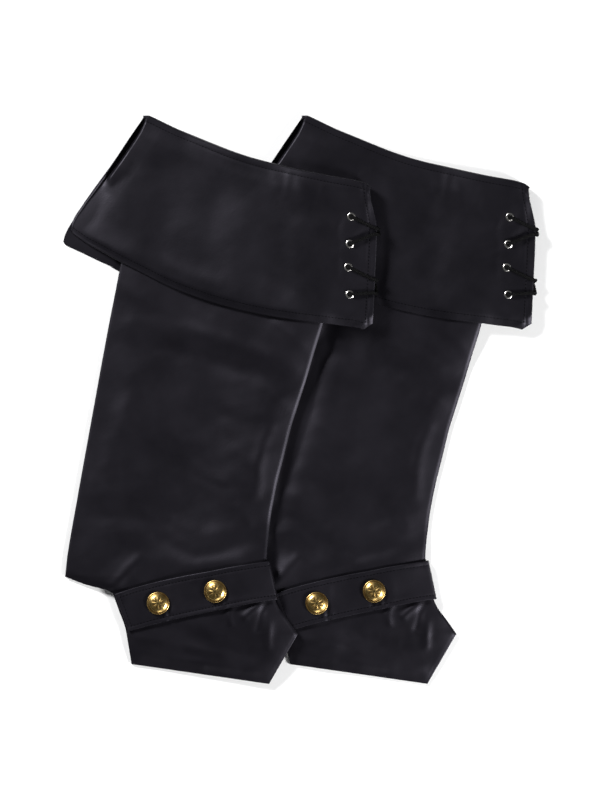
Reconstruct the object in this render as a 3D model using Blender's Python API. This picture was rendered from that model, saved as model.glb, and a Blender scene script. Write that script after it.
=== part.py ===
"""Pair of boot covers in faux leather, laid flat: the left cover lies on the right one.

Plan sizes are in mm in each cover's own frame: the origin is the heel corner, +Y runs
up the back seam and +X points to the shin. Every piece is laid on the pile of the
pieces under it, from the table up, and the meshes are written in metres.
"""
import math

import bpy
import bmesh
import numpy as np
from mathutils import Matrix, Vector

MM = 0.001
WALL = 1.2  # one layer of faux leather
STRAP_WALL = 2.0  # strap, turned and stitched double
GAP = 0.3  # between pieces that touch
LEAN = math.radians(10.27)  # clockwise turn of both covers on the table
CORNERS = {"right": (-69.66, -159.22), "left": (-212.16, -159.22)}  # heel corners on the table

BUTTON_RADIUS = 10.3
BUTTON_SEGMENTS = 12
EYELET_BORE = 2.0
EYELET_BARREL = 2.5
EYELET_FLANGE = 3.85
EYELET_HOLE = 2.85
EYELET_SEAT = 0.4  # between the leather and the eyelet's flange
EYELET_SEGMENTS = 8
LACE_RADIUS = 1.3
LACE_SIDES = 6
LACE_ROOM_UNDER = 4.0  # inner cuff stands this high over the lace under it
LACE_ROOM_BETWEEN = 4.7  # between the cuff's two halves at the laced edge
MOUTH = 0.8  # between the two turned-in facings
TABLE_REACH = (280, 240)  # of the pile's cells from the table's origin, along Y and X

LEG_COLUMNS = (0.0, 0.05, 0.13, 0.25, 0.38, 0.5, 0.62, 0.75, 0.87, 0.95, 1.0)
# station: back x, back y, front x, front y, bow, loft
LEG_STATIONS = (
    ("top fold", 0.5, 419.6, 203.4, 394.1, 1.0, 0.0),
    ("facing edge", 0.3, 412.1, 200.4, 386.6, 1.0, 0.0),
    ("over the lace", -0.2, 394.0, 192.6, 374.5, 0.6, 0.6),
    ("eyelet 1", -0.5, 365.5, 188.3, 360.5, 0.2, 1.6),
    ("eyelet 2", -0.8, 338.0, 188.8, 338.0, 0.0, 2.2),
    ("eyelet 3", -0.9, 312.0, 189.8, 314.0, 0.0, 2.4),
    ("inner hem", -1.0, 291.0, 189.9, 292.0, 0.0, 2.4),
    ("outer hem", -1.0, 277.0, 189.0, 277.0, 0.0, 2.6),
    ("under the cuff", -1.2, 260.0, 187.4, 261.0, 0.0, 2.8),
    ("shaft ridge", -1.5, 244.0, 185.4, 244.0, 0.0, 3.0),
    ("shaft trough", -1.7, 228.0, 183.5, 228.0, 0.0, 3.0),
    ("calf 1", -1.8, 212.0, 181.8, 212.0, 0.0, 3.0),
    ("calf 2", -1.9, 190.0, 179.0, 190.0, 0.0, 2.8),
    ("calf 3", -1.9, 164.0, 176.0, 166.0, 0.0, 2.8),
    ("shin 1", -1.9, 138.0, 174.5, 141.0, 0.0, 2.8),
    ("shin 2", -1.9, 112.0, 172.9, 116.0, 0.0, 2.8),
    ("ankle 1", -1.9, 88.0, 172.5, 94.0, 0.0, 2.8),
    ("ankle 2", -1.8, 66.0, 173.3, 74.0, 0.0, 2.8),
    ("ankle 3", -1.8, 46.0, 174.6, 57.0, 0.0, 2.6),
    ("ankle 4", -1.5, 22.0, 176.5, 44.5, 0.0, 2.2),
    ("heel corner", 0.0, 0.0, 181.0, 34.3, 0.0, 1.6),
    ("heel hem", 19.7, -3.6, 185.0, 24.9, 0.0, 1.4),
    ("heel hem end", 38.8, -5.1, 189.4, 14.3, 0.0, 1.4),
    ("foot corner", 44.8, -6.8, 195.4, 5.8, 0.0, 1.4),
    ("foot 1", 53.0, -20.9, 203.0, -1.0, 0.0, 1.6),
    ("toe point", 61.4, -35.3, 215.3, -13.2, 0.0, 1.6),
    ("foot 2", 67.0, -50.3, 206.5, -37.6, 0.0, 1.2),
    ("sole", 72.8, -66.7, 197.7, -62.1, 0.0, 0.5),
)

# fold: from x, y, to x, y, half width, height (a trough is below zero)
LEG_FOLDS = (
    ("shaft ridge", 20.0, 244.0, 168.0, 243.0, 11.0, 1.3),
    ("shaft trough", 8.0, 228.0, 165.0, 225.0, 10.0, -1.6),
    ("calf swell", 40.0, 190.0, 120.0, 160.0, 24.0, 0.8),
    ("front ridge", 164.0, 164.0, 160.0, 112.0, 9.0, 1.2),
    ("ankle trough", 76.0, 62.0, 166.0, 72.0, 10.0, -1.6),
    ("ankle ridge", 70.0, 36.0, 160.0, 56.0, 10.0, 1.2),
    ("heel ridge", 30.0, 2.0, 58.0, 26.0, 9.0, 1.2),
    ("foot trough", 88.0, -57.0, 183.0, -54.0, 8.0, -0.6),
)

# place along the top fold, dip under the straight line between its ends
TOP_BOW = (
    (0.0, 0.03, 0.08, 0.14, 0.21, 0.28, 0.34, 0.4, 0.47, 0.56, 0.61, 0.73, 0.83, 0.9, 0.97, 1.0),
    (0.0, -0.8, -2.4, -4.1, -5.3, -6.6, -7.6, -8.4, -8.7, -8.0, -7.1, -5.1, -3.2, -1.4, 0.1, 0.0),
)

# share of the way from the fold to the hem, x, y
CUFF_OUTER_LEFT = (
    (0.0, -4.3, 418.6), (0.2, -14.4, 396.3), (0.394, -23.7, 374.6), (0.66, -37.8, 345.0),
    (0.767, -43.5, 333.3), (0.955, -50.6, 312.4), (1.0, -50.3, 307.0),
)
CUFF_OUTER_RIGHT = (
    (0.0, 207.7, 391.8), (0.08, 210.6, 381.9), (0.15, 214.2, 373.8), (0.27, 219.6, 360.0),
    (0.43, 222.7, 342.0), (0.62, 225.7, 320.0), (0.78, 228.1, 301.5), (1.0, 231.9, 273.4),
)
CUFF_OUTER_HEM = (
    (0.0, 0.03, 0.06, 0.1, 0.17, 0.25, 0.32, 0.4, 0.49, 0.57, 0.63, 0.75, 0.84, 0.96, 0.973, 1.0),
    (0.0, -4.4, -7.0, -9.4, -13.5, -17.8, -21.2, -23.6, -24.4, -23.6, -22.2, -17.8, -13.1, -7.9, -8.0, 0.0),
)
CUFF_INNER_LEFT = (
    (0.0, -4.3, 418.6), (0.2, -14.6, 396.0), (0.394, -25.0, 372.6), (0.66, -40.6, 340.0),
    (0.767, -46.2, 326.4), (0.955, -55.2, 300.8), (1.0, -55.4, 296.4),
)
CUFF_INNER_RIGHT = (
    (0.0, 207.7, 391.8), (0.07, 207.9, 383.0), (0.18, 211.0, 369.5), (0.27, 215.4, 358.6),
    (0.51, 220.0, 329.5), (0.72, 223.5, 304.0), (0.93, 226.9, 277.0), (1.0, 227.0, 269.0),
)
CUFF_INNER_HEM = (
    (0.0, 0.01, 0.04, 0.12, 0.19, 0.36, 0.55, 0.86, 0.97, 1.0),
    (0.0, -2.6, -4.0, -7.9, -11.3, -11.4, -10.8, -4.2, -2.2, 0.0),
)
CUFF_ROWS = (0.0, 0.06, 0.13, 0.3, 0.51, 0.68, 0.87, 1.0)
# mm in from the left edge, or, below zero, from the laced edge; between them an even run
CUFF_MARGINS = (0.0, 8.5, 24.0, -66.0, -40.0, -12.0, 0.0)
CUFF_CREST = 5.0  # rise of the outer half from its left seam to the crest beside it

EYELETS_OUTER = ((195.4, 364.1), (198.6, 339.8), (200.9, 319.0), (206.6, 295.2))
EYELETS_INNER = ((195.4, 364.1), (195.4, 339.8), (197.7, 319.0), (206.6, 295.2))
LACED_EDGE = ((273.4, 231.9), (301.5, 228.1), (320.0, 225.7), (342.0, 222.7), (360.0, 219.6), (391.8, 207.7))
LACED_INSET = 4.0  # inner half's laced edge lies inside the outer one's
LACE_ZONE = (((186, 372), (214, 372)), ((187, 330), (224, 330)), ((194, 284), (230, 284)))

# strap station: rear edge x, y, front edge x, y, from the heel end to the leg's front seam
STRAP_STATIONS = (
    ("heel end", 46.9, -7.3, 65.2, -37.8),
    ("heel button", 64.0, 2.0, 82.6, -29.4),
    ("between", 80.4, 9.7, 99.0, -22.1),
    ("rise 1", 96.5, 16.6, 115.6, -15.0),
    ("rise 2", 112.4, 23.0, 132.2, -8.2),
    ("instep button", 128.1, 28.9, 148.3, -1.8),
    ("instep", 145.0, 35.6, 162.0, 3.8),
    ("shin", 161.5, 41.4, 176.4, 9.4),
    ("seam", 176.9, 46.6, 190.1, 13.9),
)
STRAP_TURN = 0.3  # room between the leg's seam and the strap's turn
BUTTONS = {"heel": (86.7, -8.2), "instep": (135.5, 11.6)}

COLOURS = {
    "leather": (0.016, 0.016, 0.02),
    "brass": (0.62, 0.44, 0.16),
    "steel": (0.72, 0.72, 0.74),
    "cord": (0.01, 0.01, 0.012),
}


def on_table(cover, points):
    """Turn points of a cover's own frame to the table's frame."""
    points = np.asarray(points, float)
    out = points.copy()
    x, y = points[..., 0], points[..., 1]
    out[..., 0] = CORNERS[cover][0] + x * math.cos(LEAN) + y * math.sin(LEAN)
    out[..., 1] = CORNERS[cover][1] - x * math.sin(LEAN) + y * math.cos(LEAN)
    return out


def samples(grid, n=42):
    """Points all over the grid's triangles, each quad cut from its first to its third corner."""
    corners = (grid[:-1, :-1], grid[:-1, 1:], grid[1:, 1:], grid[1:, :-1])
    a, b, c, d = (corner[:, :, None, None, :] for corner in corners)
    u, v = (m[None, None, :, :, None] for m in np.meshgrid(np.linspace(0, 1, n), np.linspace(0, 1, n)))
    return np.where(u >= v, a + u * (b - a) + v * (c - b), a + v * (d - a) + u * (c - d))


class Pile:
    """Height of all that is laid so far, on 1 mm cells of the table."""

    def __init__(self):
        self.top = np.full(2 * np.array(TABLE_REACH), -GAP)

    def cells(self, points):
        row, column = ((points[..., k] + TABLE_REACH[1 - k]).astype(int) for k in (1, 0))
        rows, columns = self.top.shape
        return np.clip(row, 0, rows - 1), np.clip(column, 0, columns - 1)

    def lay(self, grid, lift=0.0):
        points = samples(grid)
        np.maximum.at(self.top, self.cells(points), points[..., 2] + lift)

    def spread(self, flat, fall):
        """The pile under a stiff sheet: level for a way round each height, then falling."""
        h = self.top.copy()
        for step in range(flat + 72):
            drop = 0.0 if step < flat else fall
            p = np.pad(h, 1, mode="edge")
            side = np.maximum.reduce([p[:-2, 1:-1], p[2:, 1:-1], p[1:-1, :-2], p[1:-1, 2:]])
            corner = np.maximum.reduce([p[:-2, :-2], p[:-2, 2:], p[2:, :-2], p[2:, 2:]])
            h = np.maximum.reduce([h, side - drop, corner - 1.41 * drop])
        for _ in range(3):
            p = np.pad(h, 2, mode="edge")
            h = sum(p[i:i + h.shape[0], j:j + h.shape[1]] for i in range(5) for j in range(5)) / 25
        return h

    def drape(self, plan, loft, flat=8, fall=0.16):
        """Underside of a panel laid on the pile: its plan points, with their heights."""
        support = self.spread(flat, fall)
        rest = np.dstack([plan, support[self.cells(plan)] + GAP + loft])
        for _ in range(12):
            points = samples(rest)
            short = (self.top[self.cells(points)] + GAP - points[..., 2]).max(axis=(2, 3))
            short = np.maximum(short, 0)
            if short.max() < 0.002:
                break
            rise = np.zeros(rest.shape[:2])
            for dr in (0, 1):
                for dc in (0, 1):
                    part = rise[dr:dr + short.shape[0], dc:dc + short.shape[1]]
                    np.maximum(part, short, out=part)
            rest[..., 2] += rise
        return rest


def fold_heights(plan, folds):
    """Summed height of soft ridges and troughs, each along a straight run."""
    total = np.zeros(plan.shape[:2])
    for _, x0, y0, x1, y1, width, height in folds:
        start, run = np.array((x0, y0)), np.array((x1 - x0, y1 - y0))
        along = np.clip(((plan - start) @ run) / (run @ run), 0, 1)
        away = np.linalg.norm(plan - start - along[..., None] * run, axis=2)
        total += height * np.exp(-((away / width) ** 2))
    return total


def leg_plan():
    """Plan of one leg panel with its foot flap: rows down the leg, columns back to front."""
    rows = []
    for _, bx, by, fx, fy, bow, _ in LEG_STATIONS:
        u = np.array(LEG_COLUMNS)
        rows.append(np.column_stack([bx + u * (fx - bx), by + u * (fy - by) + bow * np.interp(u, *TOP_BOW)]))
    return np.array(rows)


def leg_loft(plan):
    """How far the upper leg panel stands off the lower one, nothing at its two seams."""
    width = np.linalg.norm(plan[:, -1] - plan[:, 0], axis=1)[:, None]
    u = np.array(LEG_COLUMNS)[None, :]
    off_seam = np.minimum(u, 1 - u) * width
    shape = np.sin(np.clip(off_seam / 34, 0, 1) * math.pi / 2)
    loft = np.array([s[-1] for s in LEG_STATIONS])[:, None]
    folds = fold_heights(plan, LEG_FOLDS) * (loft > 0)
    return np.maximum(0, shape * (loft + folds))


def cuff_plan(left, right, hem, top):
    """Plan of a cuff half: rows from the fold to the hem, columns from the seam to the lacing."""
    left, right = np.array(left), np.array(right)
    rows = []
    for v in CUFF_ROWS:
        start = np.array([np.interp(v, left[:, 0], left[:, k]) for k in (1, 2)])
        end = np.array([np.interp(v, right[:, 0], right[:, k]) for k in (1, 2)])
        width = np.linalg.norm(end - start)
        marks = [m / width if m > 0 or i == 0 else 1 + m / width for i, m in enumerate(CUFF_MARGINS)]
        even = len(top) - len(marks)
        marks[3:3] = list(np.linspace(marks[2], marks[3], even + 2)[1:-1])
        f = np.array(marks)
        line = start + f[:, None] * (end - start)
        line[:, 1] += (1 - v) * np.interp(f, *TOP_BOW) + v * np.interp(f, *hem)
        rows.append(line)
    rows = np.array(rows)
    fade = np.array([max(0.0, 1 - v / 0.3) for v in CUFF_ROWS])[:, None, None]
    return rows + fade * (top - rows[0])[None]


def cuff_top(leg):
    """Plan of the cuff's fold: the leg's top edge and the cuff's two corners beyond it."""
    left, right = CUFF_OUTER_LEFT[0][1:], CUFF_OUTER_RIGHT[0][1:]
    return np.vstack([left, leg[0], right])


def ends_copied(values):
    """Leg columns spread to the cuff's: its end columns repeat the leg's."""
    return np.concatenate([values[:1], values, values[-1:]])


def with_turn(cuff, leg, side):
    """Outside and inside grids of a cuff half with its turn over the leg's top edge.

    cuff is the half's outside surface, leg the leg panel's underside, side +1 for the
    outer half above the leg and -1 for the inner half below it.
    """
    fold = cuff[0]
    centre = ends_copied(leg[0][:, 2]) + WALL / 2
    along = np.gradient(fold[:, :2], axis=0)
    out = np.column_stack([-along[:, 1], along[:, 0]])
    out /= np.linalg.norm(out, axis=1)[:, None]
    first = (fold[:, 2] - centre) * side
    last = WALL * 1.5 + GAP
    outside, inside = [], []
    for turn in (45, 90, 135, 180):
        angle = math.radians(turn)
        reach = first + (last - first) * turn / 180
        across = last * math.sin(angle)
        for grid, thick in ((outside, 0.0), (inside, WALL)):
            xy = fold[:, :2] + out * (across - thick * math.sin(angle))
            z = centre + side * math.cos(angle) * (reach - thick)
            grid.append(np.column_stack([xy, z]))
    step = leg[1][:, :2] - leg[0][:, :2]
    edge = fold[:, :2] + np.concatenate([step[:1], step, step[-1:]])
    level = ends_copied(leg[1][:, 2]) + WALL / 2
    outside.append(np.column_stack([edge, level - side * last]))
    inside.append(np.column_stack([edge, level - side * (last - WALL)]))
    under = cuff.copy()
    under[..., 2] -= side * WALL
    return np.vstack([outside[::-1], cuff]), np.vstack([inside[::-1], under])


def strap_plan():
    """Plan of the strap's run: rows from the heel end to the seam, columns over its width."""
    rows = []
    for _, ax, ay, bx, by in STRAP_STATIONS:
        u = np.linspace(0, 1, 4)[:, None]
        rows.append(np.array((ax, ay)) + u * np.array((bx - ax, by - ay)))
    return np.array(rows)


def strap_grids(lower, upper):
    """Outside and inside grids of the strap: lower run, turn round the seam, upper run."""
    low, high = lower[-1][:, 2], upper[-1][:, 2] + STRAP_WALL
    centre, reach = (low + high) / 2, (high - low) / 2
    out = lower[-1][:, :2] - lower[-2][:, :2]
    out /= np.linalg.norm(out, axis=1)[:, None]
    outside, inside = list(lower), [row + (0, 0, STRAP_WALL) for row in lower]
    for turn in (45, 90, 135):
        angle = math.radians(turn)
        for grid, thick in ((outside, 0.0), (inside, STRAP_WALL)):
            xy = lower[-1][:, :2] + out * math.sin(angle) * (STRAP_TURN + STRAP_WALL - thick)
            grid.append(np.column_stack([xy, centre - math.cos(angle) * (reach - thick)]))
    outside += [row + (0, 0, STRAP_WALL) for row in upper[::-1]]
    inside += list(upper[::-1])
    return np.array(outside), np.array(inside)


def material(name, colour, roughness, metallic=0.0):
    made = bpy.data.materials.new(name)
    made.use_nodes = True
    shader = made.node_tree.nodes["Principled BSDF"]
    shader.inputs["Base Color"].default_value = (*colour, 1.0)
    shader.inputs["Roughness"].default_value = roughness
    shader.inputs["Metallic"].default_value = metallic
    return made


def add_mesh(name, points, faces, finish):
    """One closed body facing out, in metres, as an object of its own."""
    bm = bmesh.new()
    for p in points:
        bm.verts.new(Vector(p) * MM)
    bm.verts.ensure_lookup_table()
    for face in faces:
        bm.faces.new([bm.verts[i] for i in face])
    bmesh.ops.recalc_face_normals(bm, faces=bm.faces)
    if bm.calc_volume(signed=True) < 0:
        bmesh.ops.reverse_faces(bm, faces=bm.faces)
    mesh = bpy.data.meshes.new(name)
    bm.to_mesh(mesh)
    bm.free()
    mesh.materials.append(finish)
    piece = bpy.data.objects.new(name, mesh)
    bpy.context.collection.objects.link(piece)
    return piece


def add_wall(name, outside, inside, finish, crossed=0):
    """Closed wall between two grids; its first crossed bands are cut on the other diagonal."""
    rows, columns = outside.shape[:2]
    count = rows * columns
    faces = []
    for r in range(rows - 1):
        for c in range(columns - 1):
            i = r * columns + c
            quad = (i, i + 1, i + columns + 1, i + columns)
            if r < crossed:
                quad = quad[1:] + quad[:1]
            faces += [(quad[0], quad[1], quad[2]), (quad[0], quad[2], quad[3])]
            faces += [tuple(count + k for k in (quad[2], quad[1], quad[0]))]
            faces += [tuple(count + k for k in (quad[3], quad[2], quad[0]))]
    rim = list(range(columns))
    rim += [r * columns + columns - 1 for r in range(1, rows)]
    rim += [(rows - 1) * columns + c for c in range(columns - 2, -1, -1)]
    rim += [r * columns for r in range(rows - 2, 0, -1)]
    for a, b in zip(rim, rim[1:] + rim[:1]):
        faces += [(b, a, count + a), (b, count + a, count + b)]
    points = np.vstack([outside.reshape(-1, 3), inside.reshape(-1, 3)])
    return add_mesh(name, points, faces, finish)


def add_turned(name, profile, segments, finish):
    """Turned body: profile of radius, height; a zero radius closes it at its axis."""
    points, rings = [], []
    for radius, height in profile:
        if radius == 0:
            rings.append([len(points)] * segments)
            points.append((0, 0, height))
            continue
        ring = []
        for k in range(segments):
            angle = math.tau * (k + 0.5) / segments
            ring.append(len(points))
            points.append((radius * math.cos(angle), radius * math.sin(angle), height))
        rings.append(ring)
    pairs = list(zip(rings, rings[1:]))
    if profile[0][0] > 0:
        pairs.append((rings[-1], rings[0]))
    faces = []
    for low, high in pairs:
        for k in range(segments):
            m = (k + 1) % segments
            if low[0] == low[1]:
                faces.append((low[0], high[k], high[m]))
            elif high[0] == high[1]:
                faces.append((low[k], low[m], high[0]))
            else:
                faces += [(low[k], low[m], high[m]), (low[k], high[m], high[k])]
    return add_mesh(name, points, faces, finish)


def seat(grid, centre, radius):
    """Level plane through a grid's surface round a point: height, normal and largest rise over it."""
    points = samples(grid).reshape(-1, 3)
    near = points[np.hypot(points[:, 0] - centre[0], points[:, 1] - centre[1]) < radius]
    flat = near[:, :2] - centre
    a, b, c = np.linalg.lstsq(np.column_stack([flat, np.ones(len(near))]), near[:, 2], rcond=None)[0]
    rise = (near[:, 2] - flat @ (a, b) - c).max()
    return c, Vector((-a, -b, 1)).normalized(), rise


def place(piece, centre, height, normal, down=False):
    """Stand a turned piece on its seat, along the seat's normal."""
    axis = -normal if down else normal
    turn = Vector((0, 0, 1)).rotation_difference(axis).to_matrix().to_4x4()
    spot = Matrix.Translation(Vector((centre[0], centre[1], height)) * MM)
    piece.data.transform(spot @ turn)


def add_button(name, strap_top, centre, finish):
    """Domed button with a rolled rim, seated on the strap."""
    profile = (
        (0, 5.0), (4.0, 4.75), (7.1, 3.8), (8.5, 2.7), (9.0, 2.3), (9.7, 2.6),
        (BUTTON_RADIUS, 1.9), (BUTTON_RADIUS, 0.9), (9.3, 0.1), (0, 0),
    )
    button = add_turned(name, profile, BUTTON_SEGMENTS, finish)
    height, normal, rise = seat(strap_top, centre, BUTTON_RADIUS)
    place(button, centre, height + rise + GAP, normal)
    return button


def cut_hole(cuff, name, centre, height, normal):
    """Round hole through a cuff half for one eyelet."""
    profile = ((0, 4.0), (EYELET_HOLE, 4.0), (EYELET_HOLE, -4.0), (0, -4.0))
    cutter = add_turned(name, profile, EYELET_SEGMENTS, cuff.data.materials[0])
    place(cutter, centre, height, normal)
    cutter.hide_render = True
    cutter.display_type = "WIRE"
    hole = cuff.modifiers.new(name, "BOOLEAN")
    hole.operation = "DIFFERENCE"
    hole.solver = "EXACT"
    hole.object = cutter
    bpy.context.view_layer.update()
    cut = bpy.data.meshes.new_from_object(cuff.evaluated_get(bpy.context.evaluated_depsgraph_get()))
    cuff.modifiers.clear()
    cuff.data = cut
    bpy.data.objects.remove(cutter)


def add_eyelet(name, cuff, surface, centre, down, finish):
    """Eyelet set through a cuff half: flange outside, barrel, and its clinched end inside."""
    half = WALL / 2 + EYELET_SEAT
    profile = (
        (EYELET_BORE, half + 0.35), (2.7, half + 0.5), (3.6, half + 0.4), (EYELET_FLANGE, half),
        (EYELET_BARREL, half), (EYELET_BARREL, -half), (3.3, -half), (3.1, -half - 0.35),
        (EYELET_BORE, -half - 0.35),
    )
    eyelet = add_turned(name, profile, EYELET_SEGMENTS, finish)
    height, normal, _ = seat(surface, centre, 5.5)
    middle = height - WALL / 2
    cut_hole(cuff, name + "_hole", centre, middle, normal)
    place(eyelet, centre, middle, normal, down)
    return eyelet


def height_at(grid, point):
    """Height of a grid's surface at the point of it nearest in plan."""
    points = samples(grid[:, -5:]).reshape(-1, 3)
    away = np.hypot(points[:, 0] - point[0], points[:, 1] - point[1])
    return points[away.argmin(), 2]


def lace_path(cover, outer, inner):
    """Endless run of the lace through the four pairs of eyelets and round the laced edge.

    outer and inner are the top surfaces of the cuff's halves.
    """
    edge_y, edge_x = zip(*LACED_EDGE)

    def spot(x, y, level, height):
        """level 1 is on the outer half, 0 between the halves, -1 under the inner half."""
        at = on_table(cover, (x, y))
        top, low = height_at(outer, at), height_at(inner, at)
        base = (low - WALL, (top - WALL + low) / 2, top)[level + 1]
        return (*at, base + height)

    def lie(eye, y, level, inset):
        """From an eyelet's axis along the leather to the edge's turn."""
        sign = 1 if level > 0 else -1
        end = np.array((np.interp(y, edge_y, edge_x) - inset - 2.2, y))
        eye = np.array(eye)
        way = (end - eye) / np.linalg.norm(end - eye)
        run = [eye + 0.2 * way, eye + 1.3 * way, eye + 5.6 * way, eye + 8.2 * way, end]
        rise = (1.9, 2.5, 2.5, 1.8, 1.75)
        return [spot(eye[0], eye[1], level, sign * 0.2)] + [
            spot(p[0], p[1], level, sign * h) for p, h in zip(run, rise)]

    def turn(y_top, y_low, near):
        """Round the laced edge from the outer half's face to the inner half's."""
        x_top, x_low = (np.interp(y, edge_y, edge_x) for y in (y_top, y_low))
        crossing = y_top + (y_low - y_top) * (0.3 if near else 0.1)
        run = [(1, 0.7, y_top, 1.65), (1, 1.8, y_top, 0.4), (1, 1.9, y_top, -2.4)]
        if near:
            run += [(0, -1.3, crossing, -0.25), (-1, -2.0, y_low + 1.0, 1.5)]
            run += [(-1, -2.1, y_low, -0.1), (-1, -3.2, y_low, -1.75)]
        else:
            run += [(0, 2.0, crossing, -0.25), (-1, 1.6, (y_top + y_low) / 2, 1.5)]
            run += [(-1, 0.4, y_low - 1.0, -0.4), (-1, -1.6, y_low, -1.75)]
        return [
            spot((x_top if level > -1 else x_low) + out, y, level, height)
            for level, out, y, height in run
        ]

    def inside(start, end):
        """Between the halves, from one eyelet of a row to the next."""
        start, end = np.array(start), np.array(end)
        way = (end - start) / np.linalg.norm(end - start)
        stops = [start + d * way for d in (0.5, 1.8, 6.0)] + [end - d * way for d in (6.0, 1.8, 0.5)]
        return [spot(p[0], p[1], 0, 0.0) for p in stops]

    f, b = EYELETS_OUTER, EYELETS_INNER

    def half_loop(upper, lower, y_top, y_low, near):
        """Outer eyelet, edge, inner eyelet."""
        over, under = lie(f[upper], y_top, 1, 0), lie(b[lower], y_low, -1, LACED_INSET)
        return over + turn(y_top, y_low, near) + under[::-1]

    path = half_loop(0, 1, 357.5, 349.5, True) + inside(b[1], b[2])
    path += half_loop(3, 2, 300.3, 309.5, False)[::-1] + [spot(*f[3], 0, 0)]
    path += half_loop(2, 3, 312.3, 300.5, True)[::-1] + inside(f[2], f[1])
    path += half_loop(1, 0, 352.6, 359.5, False) + [spot(*f[0], 0, 0)]
    return path


def rounded(path, share=0.25):
    """Closed run with each sharp corner cut once."""
    out = []
    for before, corner, after in zip(path[-1:] + path[:-1], path, path[1:] + path[:1]):
        before, corner, after = (np.array(p) for p in (before, corner, after))
        come, go = corner - before, after - corner
        if come @ go > 0.94 * np.linalg.norm(come) * np.linalg.norm(go):
            out.append(corner)
        else:
            out += [corner - share * come, corner + share * go]
    return out


def add_lace(name, path, finish):
    """Round cord swept along a closed run."""
    run = [Vector(p) for p in rounded(path)]
    count = len(run)
    ways = [(run[(i + 1) % count] - run[i - 1]).normalized() for i in range(count)]
    side = ways[0].orthogonal().normalized()
    sides = []
    for i, way in enumerate(ways):
        if i:
            side = ways[i - 1].rotation_difference(way) @ side
        side = (side - side.dot(way) * way).normalized()
        sides.append(side.copy())
    back = ways[-1].rotation_difference(ways[0]) @ sides[-1]
    twist = math.atan2(back.cross(sides[0]).dot(ways[0]), back.dot(sides[0]))
    points, faces = [], []
    for i in range(count):
        across = Matrix.Rotation(twist * i / count, 3, ways[i]) @ sides[i]
        other = ways[i].cross(across)
        for k in range(LACE_SIDES):
            angle = math.tau * k / LACE_SIDES
            points.append(run[i] + LACE_RADIUS * (math.cos(angle) * across + math.sin(angle) * other))
            m, n = (k + 1) % LACE_SIDES, (i + 1) % count
            here, there = i * LACE_SIDES, n * LACE_SIDES
            faces += [(here + k, here + m, there + m), (here + k, there + m, there + k)]
    return add_mesh(name, points, faces, finish)


def build_cover(cover, pile, finish):
    """One boot cover, laid piece by piece from the bottom up."""
    leather = finish["leather"]
    leg, strap = leg_plan(), strap_plan()
    leg_table, strap_table = on_table(cover, leg), on_table(cover, strap)
    top = cuff_top(leg)
    inner_plan = on_table(cover, cuff_plan(CUFF_INNER_LEFT, CUFF_INNER_RIGHT, CUFF_INNER_HEM, top))
    outer_plan = on_table(cover, cuff_plan(CUFF_OUTER_LEFT, CUFF_OUTER_RIGHT, CUFF_OUTER_HEM, top))
    lace_zone = on_table(cover, LACE_ZONE)

    strap_low = pile.drape(strap_table, 0.0, flat=6)
    ground = Pile()
    ground.top = pile.top.copy()
    level = ground.top[ground.cells(lace_zone)].max()
    ground.lay(np.dstack([lace_zone, np.full(lace_zone.shape[:2], level)]), LACE_ROOM_UNDER)
    cuff_inner = ground.drape(inner_plan, 0.0)
    cuff_inner_top = cuff_inner + (0, 0, WALL)

    pile.lay(strap_low + (0, 0, STRAP_WALL))
    pile.lay(cuff_inner_top)
    leg_inner = pile.drape(leg_table, 0.0)
    leg_inner_top = leg_inner + (0, 0, WALL)
    pile.lay(leg_inner_top)
    pile.lay(leg_inner_top[:2], 2 * (WALL + GAP) + MOUTH - GAP)

    leg_outer = pile.drape(leg_table, leg_loft(leg), flat=5)
    leg_outer_top = leg_outer + (0, 0, WALL)
    pile.lay(leg_outer_top)

    between = Pile()
    between.top = pile.top.copy()
    zone = np.dstack([lace_zone, [[height_at(cuff_inner_top, p) for p in row] for row in lace_zone]])
    between.lay(zone, LACE_ROOM_BETWEEN - GAP)
    cuff_outer = between.drape(outer_plan, 0.0)
    seam = cuff_inner_top[:, 0, 2] + GAP
    cuff_outer[2:, 0, 2] = np.maximum(seam[2:], pile.top[pile.cells(outer_plan[2:, 0])] + GAP)
    crest = cuff_outer[:, 0, 2] + CUFF_CREST * np.minimum(1, np.array(CUFF_ROWS) / 0.3)
    cuff_outer[2:, 1, 2] = np.maximum(cuff_outer[2:, 1, 2], crest[2:])
    cuff_outer_top = cuff_outer + (0, 0, WALL)
    pile.lay(cuff_outer_top)

    strap_high = pile.drape(strap_table, 0.0, flat=4)
    strap_top = strap_high + (0, 0, STRAP_WALL)
    pile.lay(strap_top)

    add_wall(f"{cover}_leg_inner", leg_inner, leg_inner_top, leather)
    add_wall(f"{cover}_leg_outer", leg_outer_top, leg_outer, leather)
    halves = {
        "outer": add_wall(f"{cover}_cuff_outer", *with_turn(cuff_outer_top, leg_outer, 1), leather, 1),
        "inner": add_wall(f"{cover}_cuff_inner", *with_turn(cuff_inner, leg_inner, -1), leather, 1),
    }
    add_wall(f"{cover}_strap", *strap_grids(strap_low, strap_high), leather)
    for spot, centre in BUTTONS.items():
        add_button(f"{cover}_button_{spot}", strap_top, on_table(cover, centre), finish["brass"])
    for half, surface, spots in (
        ("outer", cuff_outer_top, EYELETS_OUTER),
        ("inner", cuff_inner_top, EYELETS_INNER),
    ):
        for number, centre in enumerate(spots, 1):
            name, at = f"{cover}_eyelet_{half}_{number}", on_table(cover, centre)
            add_eyelet(name, halves[half], surface, at, half == "inner", finish["steel"])
    add_lace(f"{cover}_lace", lace_path(cover, cuff_outer_top, cuff_inner_top), finish["cord"])


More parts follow.
